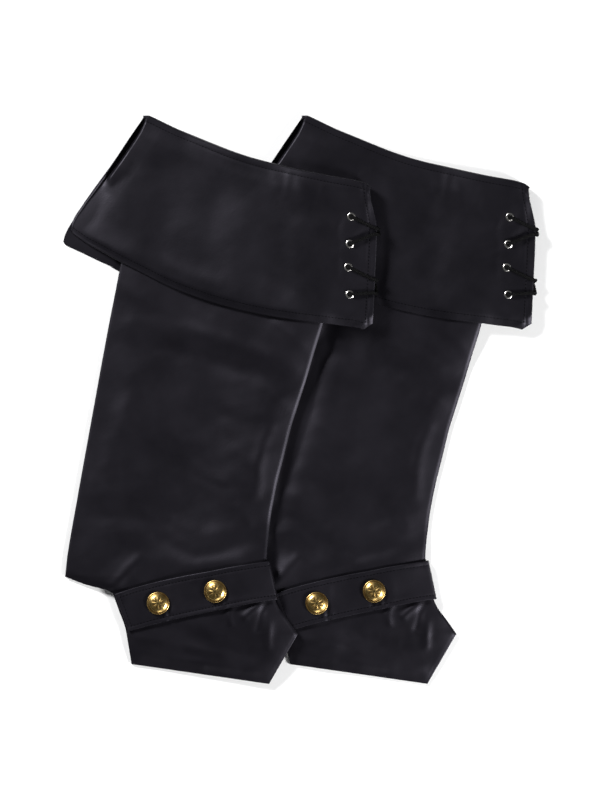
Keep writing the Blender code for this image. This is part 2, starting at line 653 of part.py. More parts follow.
def main():
    for old in list(bpy.data.objects):
        bpy.data.objects.remove(old)
    finish = {
        "leather": material("faux_leather", COLOURS["leather"], 0.42),
        "brass": material("antique_brass", COLOURS["brass"], 0.34, 1.0),
        "steel": material("eyelet_steel", COLOURS["steel"], 0.28, 1.0),
        "cord": material("lace_cord", COLOURS["cord"], 0.8),
    }
    pile = Pile()
    build_cover("right", pile, finish)
    build_cover("left", pile, finish)


main()
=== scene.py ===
import math

import bpy
import bmesh
import numpy as np
from mathutils import Matrix, Vector


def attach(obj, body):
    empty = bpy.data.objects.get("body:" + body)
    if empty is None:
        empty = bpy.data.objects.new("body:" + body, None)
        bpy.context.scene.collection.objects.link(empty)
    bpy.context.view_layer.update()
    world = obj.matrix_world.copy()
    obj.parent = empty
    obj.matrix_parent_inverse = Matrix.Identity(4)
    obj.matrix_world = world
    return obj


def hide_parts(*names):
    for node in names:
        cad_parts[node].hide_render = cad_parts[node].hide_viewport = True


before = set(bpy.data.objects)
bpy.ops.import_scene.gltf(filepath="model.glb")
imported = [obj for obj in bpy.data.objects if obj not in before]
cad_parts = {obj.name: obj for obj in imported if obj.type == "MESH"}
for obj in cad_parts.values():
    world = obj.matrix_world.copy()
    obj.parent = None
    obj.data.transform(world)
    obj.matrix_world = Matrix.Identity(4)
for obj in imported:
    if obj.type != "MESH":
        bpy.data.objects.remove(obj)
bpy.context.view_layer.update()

# Leg panels: each cover's tube is two panels of faux leather with the foot flap cut in one,
# sewn down the back as far as the heel and down the shin as far as the toe. The heel hem,
# the foot's rear edge, the sole and the toe edge are turned under and pressed flat.
MM = 0.001
WALL = 1.2
EDGE_WALL = 0.15  # what is left of a panel's wall where its edge is rolled off
GAP = 0.3
LEAN = math.radians(10.27)
CORNERS = {"right": (-69.66, -159.22), "left": (-212.16, -159.22)}

# back x, back y, front x, front y, share of the top fold's bow, loft over the lower panel
LEG_STATIONS = (
    ("top fold", 0.5, 419.6, 203.4, 394.1, 1.0, 0.0),
    ("facing edge", 0.3, 412.1, 200.4, 386.6, 1.0, 0.0),
    ("over the lace", -0.2, 394.0, 192.6, 374.5, 0.6, 0.6),
    ("eyelet 1", -0.5, 365.5, 188.3, 360.5, 0.2, 1.6),
    ("eyelet 2", -0.8, 338.0, 188.8, 338.0, 0.0, 2.2),
    ("eyelet 3", -0.9, 312.0, 189.8, 314.0, 0.0, 2.4),
    ("inner hem", -1.0, 291.0, 189.9, 292.0, 0.0, 2.4),
    ("outer hem", -1.0, 277.0, 189.0, 277.0, 0.0, 2.6),
    ("under the cuff", -1.2, 260.0, 187.4, 261.0, 0.0, 2.8),
    ("shaft ridge", -1.5, 244.0, 185.4, 244.0, 0.0, 3.0),
    ("shaft trough", -1.7, 228.0, 183.5, 228.0, 0.0, 3.0),
    ("calf 1", -1.8, 212.0, 181.8, 212.0, 0.0, 3.0),
    ("calf 2", -1.9, 190.0, 179.0, 190.0, 0.0, 2.8),
    ("calf 3", -1.9, 164.0, 176.0, 166.0, 0.0, 2.8),
    ("shin 1", -1.9, 138.0, 174.5, 141.0, 0.0, 2.8),
    ("shin 2", -1.9, 112.0, 172.9, 116.0, 0.0, 2.8),
    ("ankle 1", -1.9, 88.0, 172.5, 94.0, 0.0, 2.8),
    ("ankle 2", -1.8, 66.0, 173.3, 74.0, 0.0, 2.8),
    ("ankle 3", -1.8, 46.0, 174.6, 57.0, 0.0, 2.6),
    ("ankle 4", -1.5, 22.0, 176.5, 44.5, 0.0, 2.2),
    ("heel corner", 0.0, 0.0, 181.0, 34.3, 0.0, 1.6),
    ("heel hem", 19.7, -3.6, 185.0, 24.9, 0.0, 1.4),
    ("heel hem end", 38.8, -5.1, 189.4, 14.3, 0.0, 1.4),
    ("foot corner", 44.8, -6.8, 195.4, 5.8, 0.0, 1.4),
    ("foot 1", 53.0, -20.9, 203.0, -1.0, 0.0, 1.6),
    ("toe point", 61.4, -35.3, 215.3, -13.2, 0.0, 1.6),
    ("foot 2", 67.0, -50.3, 206.5, -37.6, 0.0, 1.2),
    ("sole", 72.8, -66.7, 197.7, -62.1, 0.0, 0.5),
)
HEEL_CORNER, FOOT_CORNER, TOE_POINT = 20, 23, 25
# place along the top fold, dip under the straight line between its ends
TOP_BOW = (
    (0.0, 0.03, 0.08, 0.14, 0.21, 0.28, 0.34, 0.4, 0.47, 0.56, 0.61, 0.73, 0.83, 0.9, 0.97, 1.0),
    (0.0, -0.8, -2.4, -4.1, -5.3, -6.6, -7.6, -8.4, -8.7, -8.0, -7.1, -5.1, -3.2, -1.4, 0.1, 0.0),
)
LEG_SEAM_ROOM = 1.2  # the seams' allowances, pressed between the two panels
LEG_RISE = (34, 26)  # how far in from the back and from the shin seam the upper panel rises
FACING_ROOM = 0.8  # slack round the cuff's turned edges, between the two panels
LEG_ROW_STEP, LEG_MIDDLE_COLUMNS = 2.4, 66
LEG_EDGE_COLUMNS = (0, 0.4, 0.9, 1.6, 2.6, 3.7, 4.8, 6.0, 7.4, 9.0, 11.0, 13.5)
SOLE_ROWS = (0, 0.14, 0.28, 0.4, 0.5, 0.58, 0.66, 0.74, 0.82, 0.88, 0.93, 0.965, 0.985, 1.0)
BACK_SEAM_ROLL = (1.8, 0.9)  # radius and drop
SHIN_SEAM_ROLL = ((0, 0.4, 2.0, 3.0), (-1.05, -0.85, -0.08, 0))  # place in from the seam, height
HEM_EDGE_ROLL = (0.8, 0.4)
LEG_HEMS = {"heel": (7.0, 0.55), "toe": (4.0, 0.25), "sole": (10.5, 0.95)}  # width and drop

# half width, height (a trough is below zero), and the run of each soft fold
LEG_FOLDS = (
    (7.5, 1.35, ((18, 237), (60, 239), (100, 236), (140, 229), (172, 222))),
    (8.0, -1.25, ((2, 217), (32, 219), (68, 217), (110, 212), (150, 209), (170, 206))),
    (10.0, 0.8, ((34, 196), (28, 165), (25, 138), (20, 96))),
    (24.0, 0.6, ((60, 186), (84, 160), (110, 130))),
    (8.0, -0.7, ((98, 172), (128, 167), (158, 163))),
    (5.0, 0.6, ((156, 195), (170, 188))),
    (6.0, 1.25, ((159, 166), (154, 149), (153, 132), (157, 106))),
    (5.0, 0.8, ((143, 90), (155, 77))),
    (7.0, 0.8, ((90, 66), (112, 59), (140, 70))),
    (7.0, -1.3, ((74, 50), (92, 43), (112, 39), (134, 48), (156, 60), (172, 64))),
    (7.0, 0.3, ((54, 20), (92, 27), (130, 36), (168, 48))),
    (8.0, 0.55, ((14, 78), (46, 84), (84, 86))),
    (6.0, -0.75, ((14, 58), (46, 62), (82, 64))),
    (5.2, 1.2, ((44, -2), (53, 14), (62, 28))),
    (7.0, -0.7, ((26, 4), (34, 16), (46, 34))),
    (7.0, -1.3, ((78, -30), (107, -29), (146, -34), (168, -34))),
    (4.5, 1.0, ((64, -43), (96, -43), (128, -43), (192, -47))),
    (5.0, 1.5, ((72, -55), (130, -54), (196, -52))),
    (2.8, 1.4, ((153, 2), (151, -6), (154, -14))),
    (3.2, 1.8, ((166, -6), (171, 1), (178, 8))),
    (2.6, -1.5, ((182, 9), (180, -3), (179, -16))),
    (3.6, 1.5, ((188, -8), (189, -19), (191, -28))),
    (4.0, 0.5, ((146, 258), (170, 246), (182, 236))),
    (6.0, 0.45, ((10, 262), (40, 256), (64, 246))),
    (5.0, 0.4, ((8, 90), (20, 110), (14, 128))),
    (4.0, 0.3, ((60, 150), (82, 141), (104, 140))),
    (4.0, -0.3, ((92, 112), (124, 104), (146, 108))),
    (3.5, 0.28, ((30, 44), (52, 51), (76, 52))),
)
# the right cover's dip beside the left cover's front edge, which weighs it down there
LEG_PRESSED = (11.0, -4.0, ((56, 262), (52, 237), (43, 168), (37, 94), (36, 48), (39, 18)))
SLACK_LENGTHS = (95, 78, 64, 52, 43, 35, 28, 22, 17, 13)
LEG_SLACK, LEG_SLACK_SEED = 0.42, {"left": 11, "right": 23}
TABLE_REACH = (280, 240)  # half the table's length and width, in its 1 mm cells
SHEET_REACH = 72  # cells over which a sheet comes down from what it rests on


def on_table(cover, points):
    """A cover's own plan turned and moved to its place on the table."""
    points = np.asarray(points, float)
    out = points.copy()
    x, y = points[..., 0], points[..., 1]
    out[..., 0] = CORNERS[cover][0] + x * math.cos(LEAN) + y * math.sin(LEAN)
    out[..., 1] = CORNERS[cover][1] - x * math.sin(LEAN) + y * math.cos(LEAN)
    return out


def slopes(marks, values):
    """Slope at each mark of a run that never swings past its own values."""
    step = np.diff(marks)[:, None]
    rise = np.diff(values, axis=0) / step
    before, after = rise[:-1], rise[1:]
    same_way = before * after > 0
    wide = np.where(same_way, before + after, 1.0)
    middle = np.where(same_way, 2 * before * after / wide, 0.0)
    return np.vstack([rise[:1], middle, rise[-1:]])


def through(marks, values, at, corners=()):
    """Smooth run through a table's values, sharp at the corners' rows."""
    marks, values, at = np.asarray(marks, float), np.asarray(values, float), np.asarray(at, float)
    flat = values.ndim == 1
    values = values[:, None] if flat else values
    out = np.empty((len(at), values.shape[1]))
    ends = [0, *corners, len(marks) - 1]
    for first, last in zip(ends, ends[1:]):
        m, v = marks[first:last + 1], values[first:last + 1]
        slope = slopes(m, v)
        here = (at >= m[0] - 1e-9) & (at <= m[-1] + 1e-9)
        i = np.clip(np.searchsorted(m, at[here]) - 1, 0, len(m) - 2)
        step = (m[i + 1] - m[i])[:, None]
        t = np.clip((at[here] - m[i])[:, None] / step, 0, 1)
        out[here] = (
            (2 * t ** 3 - 3 * t ** 2 + 1) * v[i] + (t ** 3 - 2 * t ** 2 + t) * step * slope[i]
            + (3 * t ** 2 - 2 * t ** 3) * v[i + 1] + (t ** 3 - t ** 2) * step * slope[i + 1]
        )
    return out[:, 0] if flat else out


def columns_across(width, left, right, count):
    """Shares of a row's width: set distances in from each edge, and an even run between."""
    middle = np.linspace(left[-1], width - right[-1], count)[1:-1]
    return np.concatenate([left, middle, width - np.array(right)[::-1]]) / width


class Pile:
    """Height of all that is laid so far, on 1 mm cells of the table."""

    def __init__(self, top=None):
        cells = (2 * TABLE_REACH[0], 2 * TABLE_REACH[1])
        self.top = np.full(cells, -GAP) if top is None else top.copy()

    def cells(self, points):
        """Row and column of the cell that each point is over."""
        row = (points[..., 1] + TABLE_REACH[0]).astype(int)
        column = (points[..., 0] + TABLE_REACH[1]).astype(int)
        return np.clip(row, 0, 2 * TABLE_REACH[0] - 1), np.clip(column, 0, 2 * TABLE_REACH[1] - 1)

    def lay(self, grid, lift=0.0, n=5):
        """Add a grid of points, with n by n places of each of its faces."""
        corners = (grid[:-1, :-1], grid[:-1, 1:], grid[1:, 1:], grid[1:, :-1])
        a, b, c, d = (corner[:, :, None, None] for corner in corners)
        places = np.meshgrid(np.linspace(0, 1, n), np.linspace(0, 1, n))
        u, v = (place[None, None, :, :, None] for place in places)
        points = (1 - v) * ((1 - u) * a + u * b) + v * ((1 - u) * d + u * c)
        np.maximum.at(self.top, self.cells(points), points[..., 2] + lift)

    def under(self, plan, flat=8, fall=0.16):
        """Heights at the plan's points of a stiff sheet laid on the pile: level for some cells
        past what it rests on, then coming down by the fall of each cell."""
        h = self.top.copy()
        for step in range(flat + SHEET_REACH):
            drop = 0.0 if step < flat else fall
            p = np.pad(h, 1, mode="edge")
            side = np.maximum.reduce([p[:-2, 1:-1], p[2:, 1:-1], p[1:-1, :-2], p[1:-1, 2:]])
            corner = np.maximum.reduce([p[:-2, :-2], p[:-2, 2:], p[2:, :-2], p[2:, 2:]])
            h = np.maximum.reduce([h, side - drop, corner - 1.41 * drop])
        for _ in range(4):
            p = np.pad(h, 3, mode="edge")
            h = sum(p[i:i + h.shape[0], j:j + h.shape[1]] for i in range(7) for j in range(7)) / 49
        x, y = plan[..., 0] + (TABLE_REACH[1] - 0.5), plan[..., 1] + (TABLE_REACH[0] - 0.5)
        j = np.clip(x.astype(int), 0, 2 * TABLE_REACH[1] - 2)
        i = np.clip(y.astype(int), 0, 2 * TABLE_REACH[0] - 2)
        s, t = x - j, y - i
        low = (1 - s) * h[i, j] + s * h[i, j + 1]
        high = (1 - s) * h[i + 1, j] + s * h[i + 1, j + 1]
        return (1 - t) * low + t * high + GAP


def off_run(plan, run):
    """Distance of each point from a run of points, and how far along the run it is nearest."""
    run = np.asarray(run, float)
    steps = np.linalg.norm(np.diff(run, axis=0), axis=1)
    away, along = np.full(plan.shape[:2], np.inf), np.zeros(plan.shape[:2])
    for k, step in enumerate(steps):
        way = run[k + 1] - run[k]
        share = np.clip(((plan - run[k]) @ way) / step ** 2, 0, 1)
        here = np.linalg.norm(plan - run[k] - share[..., None] * way, axis=2)
        near = here < away
        away = np.where(near, here, away)
        along = np.where(near, steps[:k].sum() + share * step, along)
    return away, along


def fold_heights(plan, folds):
    """Summed height of soft folds, each along its run of points, uneven and fading at its ends."""
    total = np.zeros(plan.shape[:2])
    for width, height, run in folds:
        away, along = off_run(plan, run)
        share = along / along.max()
        uneven = 0.72 + 0.2 * np.sin(math.pi * share) + 0.08 * np.sin(7 * share + run[0][0])
        total += height * uneven * np.exp(-((away / width) ** 2))
    return total


def slack(plan, seed, amount):
    """Uneven slack of laid leather: long soft swells with fainter short ones in them."""
    random = np.random.default_rng(seed)
    total = np.zeros(plan.shape[:2])
    for length in SLACK_LENGTHS:
        for _ in range(2):
            way = random.uniform(0, math.pi)
            phase = plan[..., 0] * math.cos(way) + plan[..., 1] * math.sin(way)
            bend = 7 * np.sin(plan @ random.uniform(-0.05, 0.05, 2) + random.uniform(0, 6))
            wave = np.sin(math.tau * (phase + bend) / length + random.uniform(0, 6))
            total += (length / 60) ** 1.35 * wave
    return amount * total / 3


def edge_roll(away, radius=1.6, drop=0.8):
    """Drop of a surface where it rounds off at an edge."""
    t = np.clip(1 - away / radius, 0, 1)
    return -drop * (1 - np.sqrt(1 - t * t))


def pressed_hem(away, run, seed, width=9.0, drop=0.9, lip=1.1):
    """Turned hem pressed flat: it eases down to the edge, ends in a thin level lip and puckers."""
    t = np.clip((width - away) / (width - lip), 0, 1)
    pull = (
        np.sin(math.tau * run / 9.3 + 2.1 * seed)
        + 0.8 * np.sin(math.tau * run / 14.1 + 4.2 * seed)
        + 0.9 * np.sin(math.tau * run / 24.7 + 6.3 * seed)
    )
    return -drop * t * t * (2 - t) + 0.045 * pull * np.exp(-(((away - 0.6 * width) / 3.2) ** 2))


def running(points):
    """Distance run along each row of points."""
    steps = np.linalg.norm(np.diff(points, axis=1), axis=2)
    return np.concatenate([np.zeros((len(points), 1)), np.cumsum(steps, axis=1)], axis=1)


def running_down(points):
    """Distance run down each column of points."""
    return running(points.transpose(1, 0, 2)).T


def grain_group():
    """Fine pebbled grain, faint handling creases and cloudy tone of coated leather."""
    group = bpy.data.node_groups.new("coated_leather_grain", "ShaderNodeTree")
    face = group.interface
    for label in ("Grain depth", "Crease depth"):
        face.new_socket(label, in_out="INPUT", socket_type="NodeSocketFloat").default_value = 1.0
    for label in ("Tone", "Height"):
        face.new_socket(label, in_out="OUTPUT", socket_type="NodeSocketFloat")
    nodes, links = group.nodes, group.links
    given, made = nodes.new("NodeGroupInput"), nodes.new("NodeGroupOutput")
    place = nodes.new("ShaderNodeTexCoord")
    pebbles = nodes.new("ShaderNodeTexVoronoi")
    pebbles.feature = "SMOOTH_F1"
    pebbles.inputs["Scale"].default_value = 900.0
    pebbles.inputs["Smoothness"].default_value = 0.4
    creases = nodes.new("ShaderNodeTexNoise")
    creases.inputs["Scale"].default_value = 95.0
    creases.inputs["Detail"].default_value = 5.0
    creases.inputs["Distortion"].default_value = 0.6
    clouds = nodes.new("ShaderNodeTexNoise")
    clouds.inputs["Scale"].default_value = 22.0
    clouds.inputs["Detail"].default_value = 4.0
    clouds.inputs["Roughness"].default_value = 0.55
    for texture in (pebbles, creases, clouds):
        links.new(place.outputs["Object"], texture.inputs["Vector"])
    depths = []
    reliefs = ((pebbles, "Distance", "Grain depth"), (creases, "Fac", "Crease depth"))
    for texture, output, label in reliefs:
        depth = nodes.new("ShaderNodeMath")
        depth.operation = "MULTIPLY"
        links.new(texture.outputs[output], depth.inputs[0])
        links.new(given.outputs[label], depth.inputs[1])
        depths.append(depth)
    height = nodes.new("ShaderNodeMath")
    height.operation = "ADD"
    links.new(depths[0].outputs[0], height.inputs[0])
    links.new(depths[1].outputs[0], height.inputs[1])
    links.new(clouds.outputs["Fac"], made.inputs["Tone"])
    links.new(height.outputs[0], made.inputs["Height"])
    return group


GRAIN = grain_group()


def coated_leather(name, dark, light, rough, crease_depth=1.0, gloss_level=0.26):
    """Black coated leather: cloudy tone and gloss over a fine grain."""
    made = bpy.data.materials.new(name)
    made.use_nodes = True
    nodes, links = made.node_tree.nodes, made.node_tree.links
    shader = nodes["Principled BSDF"]
    shader.inputs["IOR"].default_value = 1.5
    shader.inputs["Specular IOR Level"].default_value = gloss_level
    shader.inputs["Specular Tint"].default_value = (0.87, 0.82, 1.0, 1.0)
    grain = nodes.new("ShaderNodeGroup")
    grain.node_tree = GRAIN
    grain.inputs["Grain depth"].default_value = 0.3
    grain.inputs["Crease depth"].default_value = crease_depth
    tone = nodes.new("ShaderNodeMix")
    tone.data_type = "RGBA"
    tone.inputs["A"].default_value = (*dark, 1.0)
    tone.inputs["B"].default_value = (*light, 1.0)
    spread = nodes.new("ShaderNodeMapRange")
    spread.inputs["From Min"].default_value = 0.35
    spread.inputs["From Max"].default_value = 0.65
    gloss = nodes.new("ShaderNodeMapRange")
    gloss.inputs["From Min"].default_value = 0.3
    gloss.inputs["From Max"].default_value = 0.7
    gloss.inputs["To Min"].default_value = rough[0]
    gloss.inputs["To Max"].default_value = rough[1]
    relief = nodes.new("ShaderNodeBump")
    relief.inputs["Strength"].default_value = 0.45
    relief.inputs["Distance"].default_value = 0.0002
    links.new(grain.outputs["Tone"], spread.inputs["Value"])
    links.new(spread.outputs["Result"], tone.inputs["Factor"])
    links.new(tone.outputs["Result"], shader.inputs["Base Color"])
    links.new(grain.outputs["Tone"], gloss.inputs["Value"])
    links.new(gloss.outputs["Result"], shader.inputs["Roughness"])
    links.new(grain.outputs["Height"], relief.inputs["Height"])
    links.new(relief.outputs["Normal"], shader.inputs["Normal"])
    return made


LEG_LEATHER = coated_leather(
    "leg_leather", dark=(0.0019, 0.0017, 0.0025), light=(0.0028, 0.0025, 0.0036), rough=(0.41, 0.49)
)


def shell(name, outside, inside, finish):
    """Closed wall between two grids of the same rows and columns, in metres."""
    rows, columns = outside.shape[:2]
    count = rows * columns
    row, column = np.meshgrid(np.arange(rows - 1), np.arange(columns - 1), indexing="ij")
    i = (row * columns + column).ravel()
    quads = np.column_stack([i, i + 1, i + columns + 1, i + columns])
    rim = np.concatenate([
        np.arange(columns), np.arange(1, rows) * columns + columns - 1,
        (rows - 1) * columns + np.arange(columns - 2, -1, -1), np.arange(rows - 2, 0, -1) * columns,
    ])
    after = np.roll(rim, -1)
    border = np.column_stack([after, rim, rim + count, after + count])
    faces = np.vstack([quads, quads[:, ::-1] + count, border])
    points = np.vstack([outside.reshape(-1, 3), inside.reshape(-1, 3)]) * MM
    mesh = bpy.data.meshes.new(name)
    mesh.from_pydata(points.tolist(), [], faces.tolist())
    made = bmesh.new()
    made.from_mesh(mesh)
    bmesh.ops.recalc_face_normals(made, faces=made.faces)
    if made.calc_volume(signed=True) < 0:
        bmesh.ops.reverse_faces(made, faces=made.faces)
    made.to_mesh(mesh)
    made.free()
    mesh.shade_smooth()
    mesh.materials.append(finish)
    piece = bpy.data.objects.new(name, mesh)
    bpy.context.collection.objects.link(piece)
    return piece


def leg_plan():
    """Rows down the leg and foot, columns from the back edge to the front edge."""
    table = np.array([s[1:] for s in LEG_STATIONS])
    back_steps = np.linalg.norm(np.diff(table[:, :2], axis=0), axis=1)
    front_steps = np.linalg.norm(np.diff(table[:, 2:4], axis=0), axis=1)
    marks = np.concatenate([[0], np.cumsum(np.maximum(back_steps, front_steps))])
    at = []
    for a, b in zip(marks[:-1], marks[1:-1]):
        steps = max(2, math.ceil((b - a) / LEG_ROW_STEP))
        at.append(np.linspace(a, b, steps + 1)[:-1])
    at = np.concatenate(at + [marks[-2] + (marks[-1] - marks[-2]) * np.array(SOLE_ROWS)])
    back = through(marks, table[:, :2], at, (HEEL_CORNER, FOOT_CORNER))
    front = through(marks, table[:, 2:4], at, (TOE_POINT,))
    bow, loft = (through(marks, table[:, k], at) for k in (4, 5))
    edge = LEG_EDGE_COLUMNS
    rows = []
    for b, f, w in zip(back, front, bow):
        u = columns_across(np.linalg.norm(f - b), edge, edge, LEG_MIDDLE_COLUMNS)
        row = b + u[:, None] * (f - b)
        row[:, 1] += w * through(*TOP_BOW, u)
        rows.append(row)
    return np.array(rows), loft, at, marks


LEG_PLAN, LEG_LOFT, LEG_MARKS, STATION_MARKS = leg_plan()
FACING_ROW = int(np.argmin(abs(LEG_MARKS - STATION_MARKS[1])))


def leg_relief():
    """Relief of a leg panel's outer face: rolled seams and flat turned hems."""
    heel = int(np.argmin(abs(LEG_MARKS - STATION_MARKS[HEEL_CORNER])))
    toe = int(np.argmin(abs(LEG_MARKS - STATION_MARKS[TOE_POINT])))
    back, front = LEG_PLAN[:, 0], LEG_PLAN[:, -1]
    relief = edge_roll(off_run(LEG_PLAN, back[:heel + 1])[0], *BACK_SEAM_ROLL)
    relief += np.interp(off_run(LEG_PLAN, front[:toe + 1])[0], *SHIN_SEAM_ROLL)
    edges = {"heel": back[heel:], "toe": front[toe:], "sole": LEG_PLAN[-1]}
    for name, (width, drop) in LEG_HEMS.items():
        away, along = off_run(LEG_PLAN, edges[name])
        relief += edge_roll(away, *HEM_EDGE_ROLL) + pressed_hem(away, along, drop, width, drop)
    return np.maximum(relief, EDGE_WALL - WALL)


def sew_leg(cover, side, outside, inside):
    """One leg panel as a thin shell of the leg's leather."""
    panel = shell(f"{cover}_leg_{side}_leather", outside, inside, LEG_LEATHER)
    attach(panel, "root")
    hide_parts(f"{cover}_leg_{side}")


def lay_leg_inner(cover, pile):
    """Lower leg panel, flat on the table or on the cover under it."""
    plan = on_table(cover, LEG_PLAN)
    under = np.dstack([plan, pile.under(plan)])
    top = under + (0, 0, WALL)
    sew_leg(cover, "inner", under, top)
    pile.lay(top)
    pile.lay(top[:FACING_ROW + 1], 2 * (WALL + GAP) + FACING_ROOM - GAP)
    return under


def lay_leg_outer(cover, pile):
    """Upper leg panel, lofted off the lower one between its two seams, with the folds."""
    plan = on_table(cover, LEG_PLAN)
    from_back = running(LEG_PLAN)
    width = from_back[:, -1:]
    loose = np.minimum(from_back / LEG_RISE[0], (width - from_back) / LEG_RISE[1])
    shape = np.sin(np.clip(loose, 0, 1) * math.pi / 2)
    loft = LEG_LOFT[:, None]
    pressed = (LEG_PRESSED,) if cover == "right" else ()
    folds = fold_heights(LEG_PLAN, LEG_FOLDS + pressed)
    folds += slack(LEG_PLAN, LEG_SLACK_SEED[cover], LEG_SLACK)
    room = LEG_SEAM_ROOM * np.clip(loft / 1.6, 0, 1)
    rise = np.maximum(0, shape * (loft + folds * (loft > 0.01)))
    under = np.dstack([plan, pile.under(plan, flat=5) + room + rise])
    top = under + (0, 0, WALL)
    top[..., 2] += leg_relief()
    sew_leg(cover, "outer", top, under)
    pile.lay(top)
    return under


# Cuffs: each is two halves of the same leather, sewn down the back, turned over the leg's top
# edge and topstitched there. The front edges stay open and are laced. Hems are turned and
# stitched about 6 mm in, which puckers them a little.
# for each half: its back seam and its laced edge by share of the way from the fold to the hem,
# and how far the hem dips under the straight line between its ends
CUFF_EDGES = {
    "outer": (
        ((0.0, -4.3, 418.6), (0.2, -14.4, 396.3), (0.394, -23.7, 374.6), (0.66, -37.8, 345.0),
         (0.767, -43.5, 333.3), (0.955, -50.6, 312.4), (1.0, -50.3, 307.0)),
        ((0.0, 207.7, 391.8), (0.08, 210.6, 381.9), (0.15, 214.2, 373.8), (0.27, 219.6, 360.0),
         (0.43, 222.7, 342.0), (0.62, 225.7, 320.0), (0.78, 228.1, 301.5), (1.0, 231.9, 273.4)),
        ((0.0, 0.01, 0.03, 0.057, 0.1, 0.167, 0.254, 0.318, 0.361, 0.408, 0.446, 0.489,
          0.531, 0.573, 0.634, 0.692, 0.749, 0.843, 0.892, 0.964, 0.973, 1.0),
         (0.0, -2.4, -4.4, -6.9, -9.4, -13.4, -17.9, -21.2, -22.7, -23.7, -24.2, -24.4,
          -24.2, -23.6, -22.2, -20.3, -17.8, -13.1, -10.8, -7.9, -8.0, 0.0)),
    ),
    "inner": (
        ((0.0, -4.3, 418.6), (0.2, -14.6, 396.0), (0.394, -25.0, 372.6), (0.66, -40.6, 340.0),
         (0.767, -46.2, 326.4), (0.955, -55.2, 300.8), (1.0, -55.4, 296.4)),
        ((0.0, 207.7, 391.8), (0.07, 207.9, 383.0), (0.18, 211.0, 369.5), (0.27, 215.4, 358.6),
         (0.51, 220.0, 329.5), (0.72, 223.5, 304.0), (0.93, 226.9, 277.0), (1.0, 227.0, 269.0)),
        ((0.0, 0.008, 0.04, 0.075, 0.116, 0.159, 0.19, 0.25, 0.36, 0.55, 0.86, 0.97, 1.0),
         (0.0, -2.4, -4.0, -5.6, -7.8, -9.6, -11.3, -11.8, -11.0, -10.8, -5.0, -2.0, 0.0)),
    ),
}
HEM_CORNER = {"outer": (20,), "inner": ()}  # row of the hem's table where it bends sharply
# share of the way down, width of the groove beside the back seam, width and height of the
# crest's side, height of its soft dome past that, height of the seam's edge over the groove
CREST = (
    (0.0, 2.0, 1.8, 2.8, 0.2, 2.2),
    (0.05, 3.4, 1.8, 3.8, 0.4, 4.0),
    (0.12, 4.6, 1.9, 4.2, 0.5, 4.8),
    (0.25, 4.8, 1.9, 4.8, 0.5, 4.9),
    (0.4, 4.0, 2.2, 4.8, 0.7, 4.4),
    (0.5, 3.6, 2.8, 3.2, 0.7, 4.0),
    (0.6, 3.3, 14.0, 2.0, 0.4, 3.4),
    (0.8, 3.0, 16.0, 1.8, 0.3, 2.6),
    (0.93, 2.4, 14.0, 1.5, 0.2, 1.8),
    (1.0, 1.6, 12.0, 1.1, 0.2, 0.8),
)
DOME_RUN, LIP_RUN = 13.0, 1.1
CREST_EASE = (12, 44)  # how far in from the back seam the crest begins and ends to ease down
CUFF_RISE = 22  # how far in from the sides a half hangs loose
PULLED_FLAT = (26, 12)  # place in from the laced edge that the eyelets hold flat, half width
HEM_SWELL = 1.1  # just above the pressed hem
HEM_SWELL_PLACE, HEM_SWELL_RUN = 9.5, (15, 4.6)  # up from the hem, and its reach up and down
CUFF_SLACK, CUFF_SLACK_SEED = 0.15, {"left": 5, "right": 31}
LACE_ROOM_UNDER = 4.0
LACE_ROOM_BETWEEN = 4.7
LACE_ZONE = (((186, 372), (214, 372)), ((187, 330), (224, 330)), ((194, 284), (230, 284)))
CUFF_FOLDS = (
    (26.0, -0.9, ((66, 306), (84, 352), (92, 392))),
    (9.5, 0.12, ((60, 322), (94, 328), (140, 306))),
    (6.0, 0.5, ((-20, 302), (17, 297), (57, 289), (90, 284))),
    (9.0, 0.2, ((-2, 362), (-15, 335), (-22, 318))),
    (9.0, 0.5, ((4, 404), (22, 396), (50, 392))),
    (5.0, 0.45, ((119, 394), (126, 380))),
    (4.5, 0.4, ((144, 385), (150, 372))),
    (9.0, -0.5, ((132, 366), (158, 356), (160, 330))),
    (5.5, 0.6, ((180, 372), (188, 350))),
    (8.0, 0.6, ((166, 296), (184, 281))),
    (7.0, -0.4, ((120, 300), (150, 290))),
)
# small pulls beside the lacing, where the halves are held together
LACING_PULLS = (
    (3.4, 0.8, ((204, 388), (210, 364))),
    (2.2, 0.9, ((219, 269.5), (229, 273))),
    (2.4, 0.5, ((209, 361), (199, 350))),
    (3.4, 0.45, ((188, 366), (184, 350), (190, 338))),
    (3.0, 0.35, ((190, 326), (193, 312))),
    (2.6, -0.4, ((210, 352), (214, 330))),
    (2.2, 0.4, ((216, 340), (220, 316))),
    (2.8, -0.4, ((206, 310), (214, 300))),
    (1.6, 0.5, ((200, 392), (206, 388))),
    (3.2, 0.3, ((166, 384), (164, 366))),
    (2.8, 0.28, ((134, 392), (134, 372))),
)
# the right cuff's dip beside the left cuff's laced edge, which weighs it down there
CUFF_PRESSED = (9.0, -3.0, ((66, 372), (74, 340), (82, 300), (92, 262)))
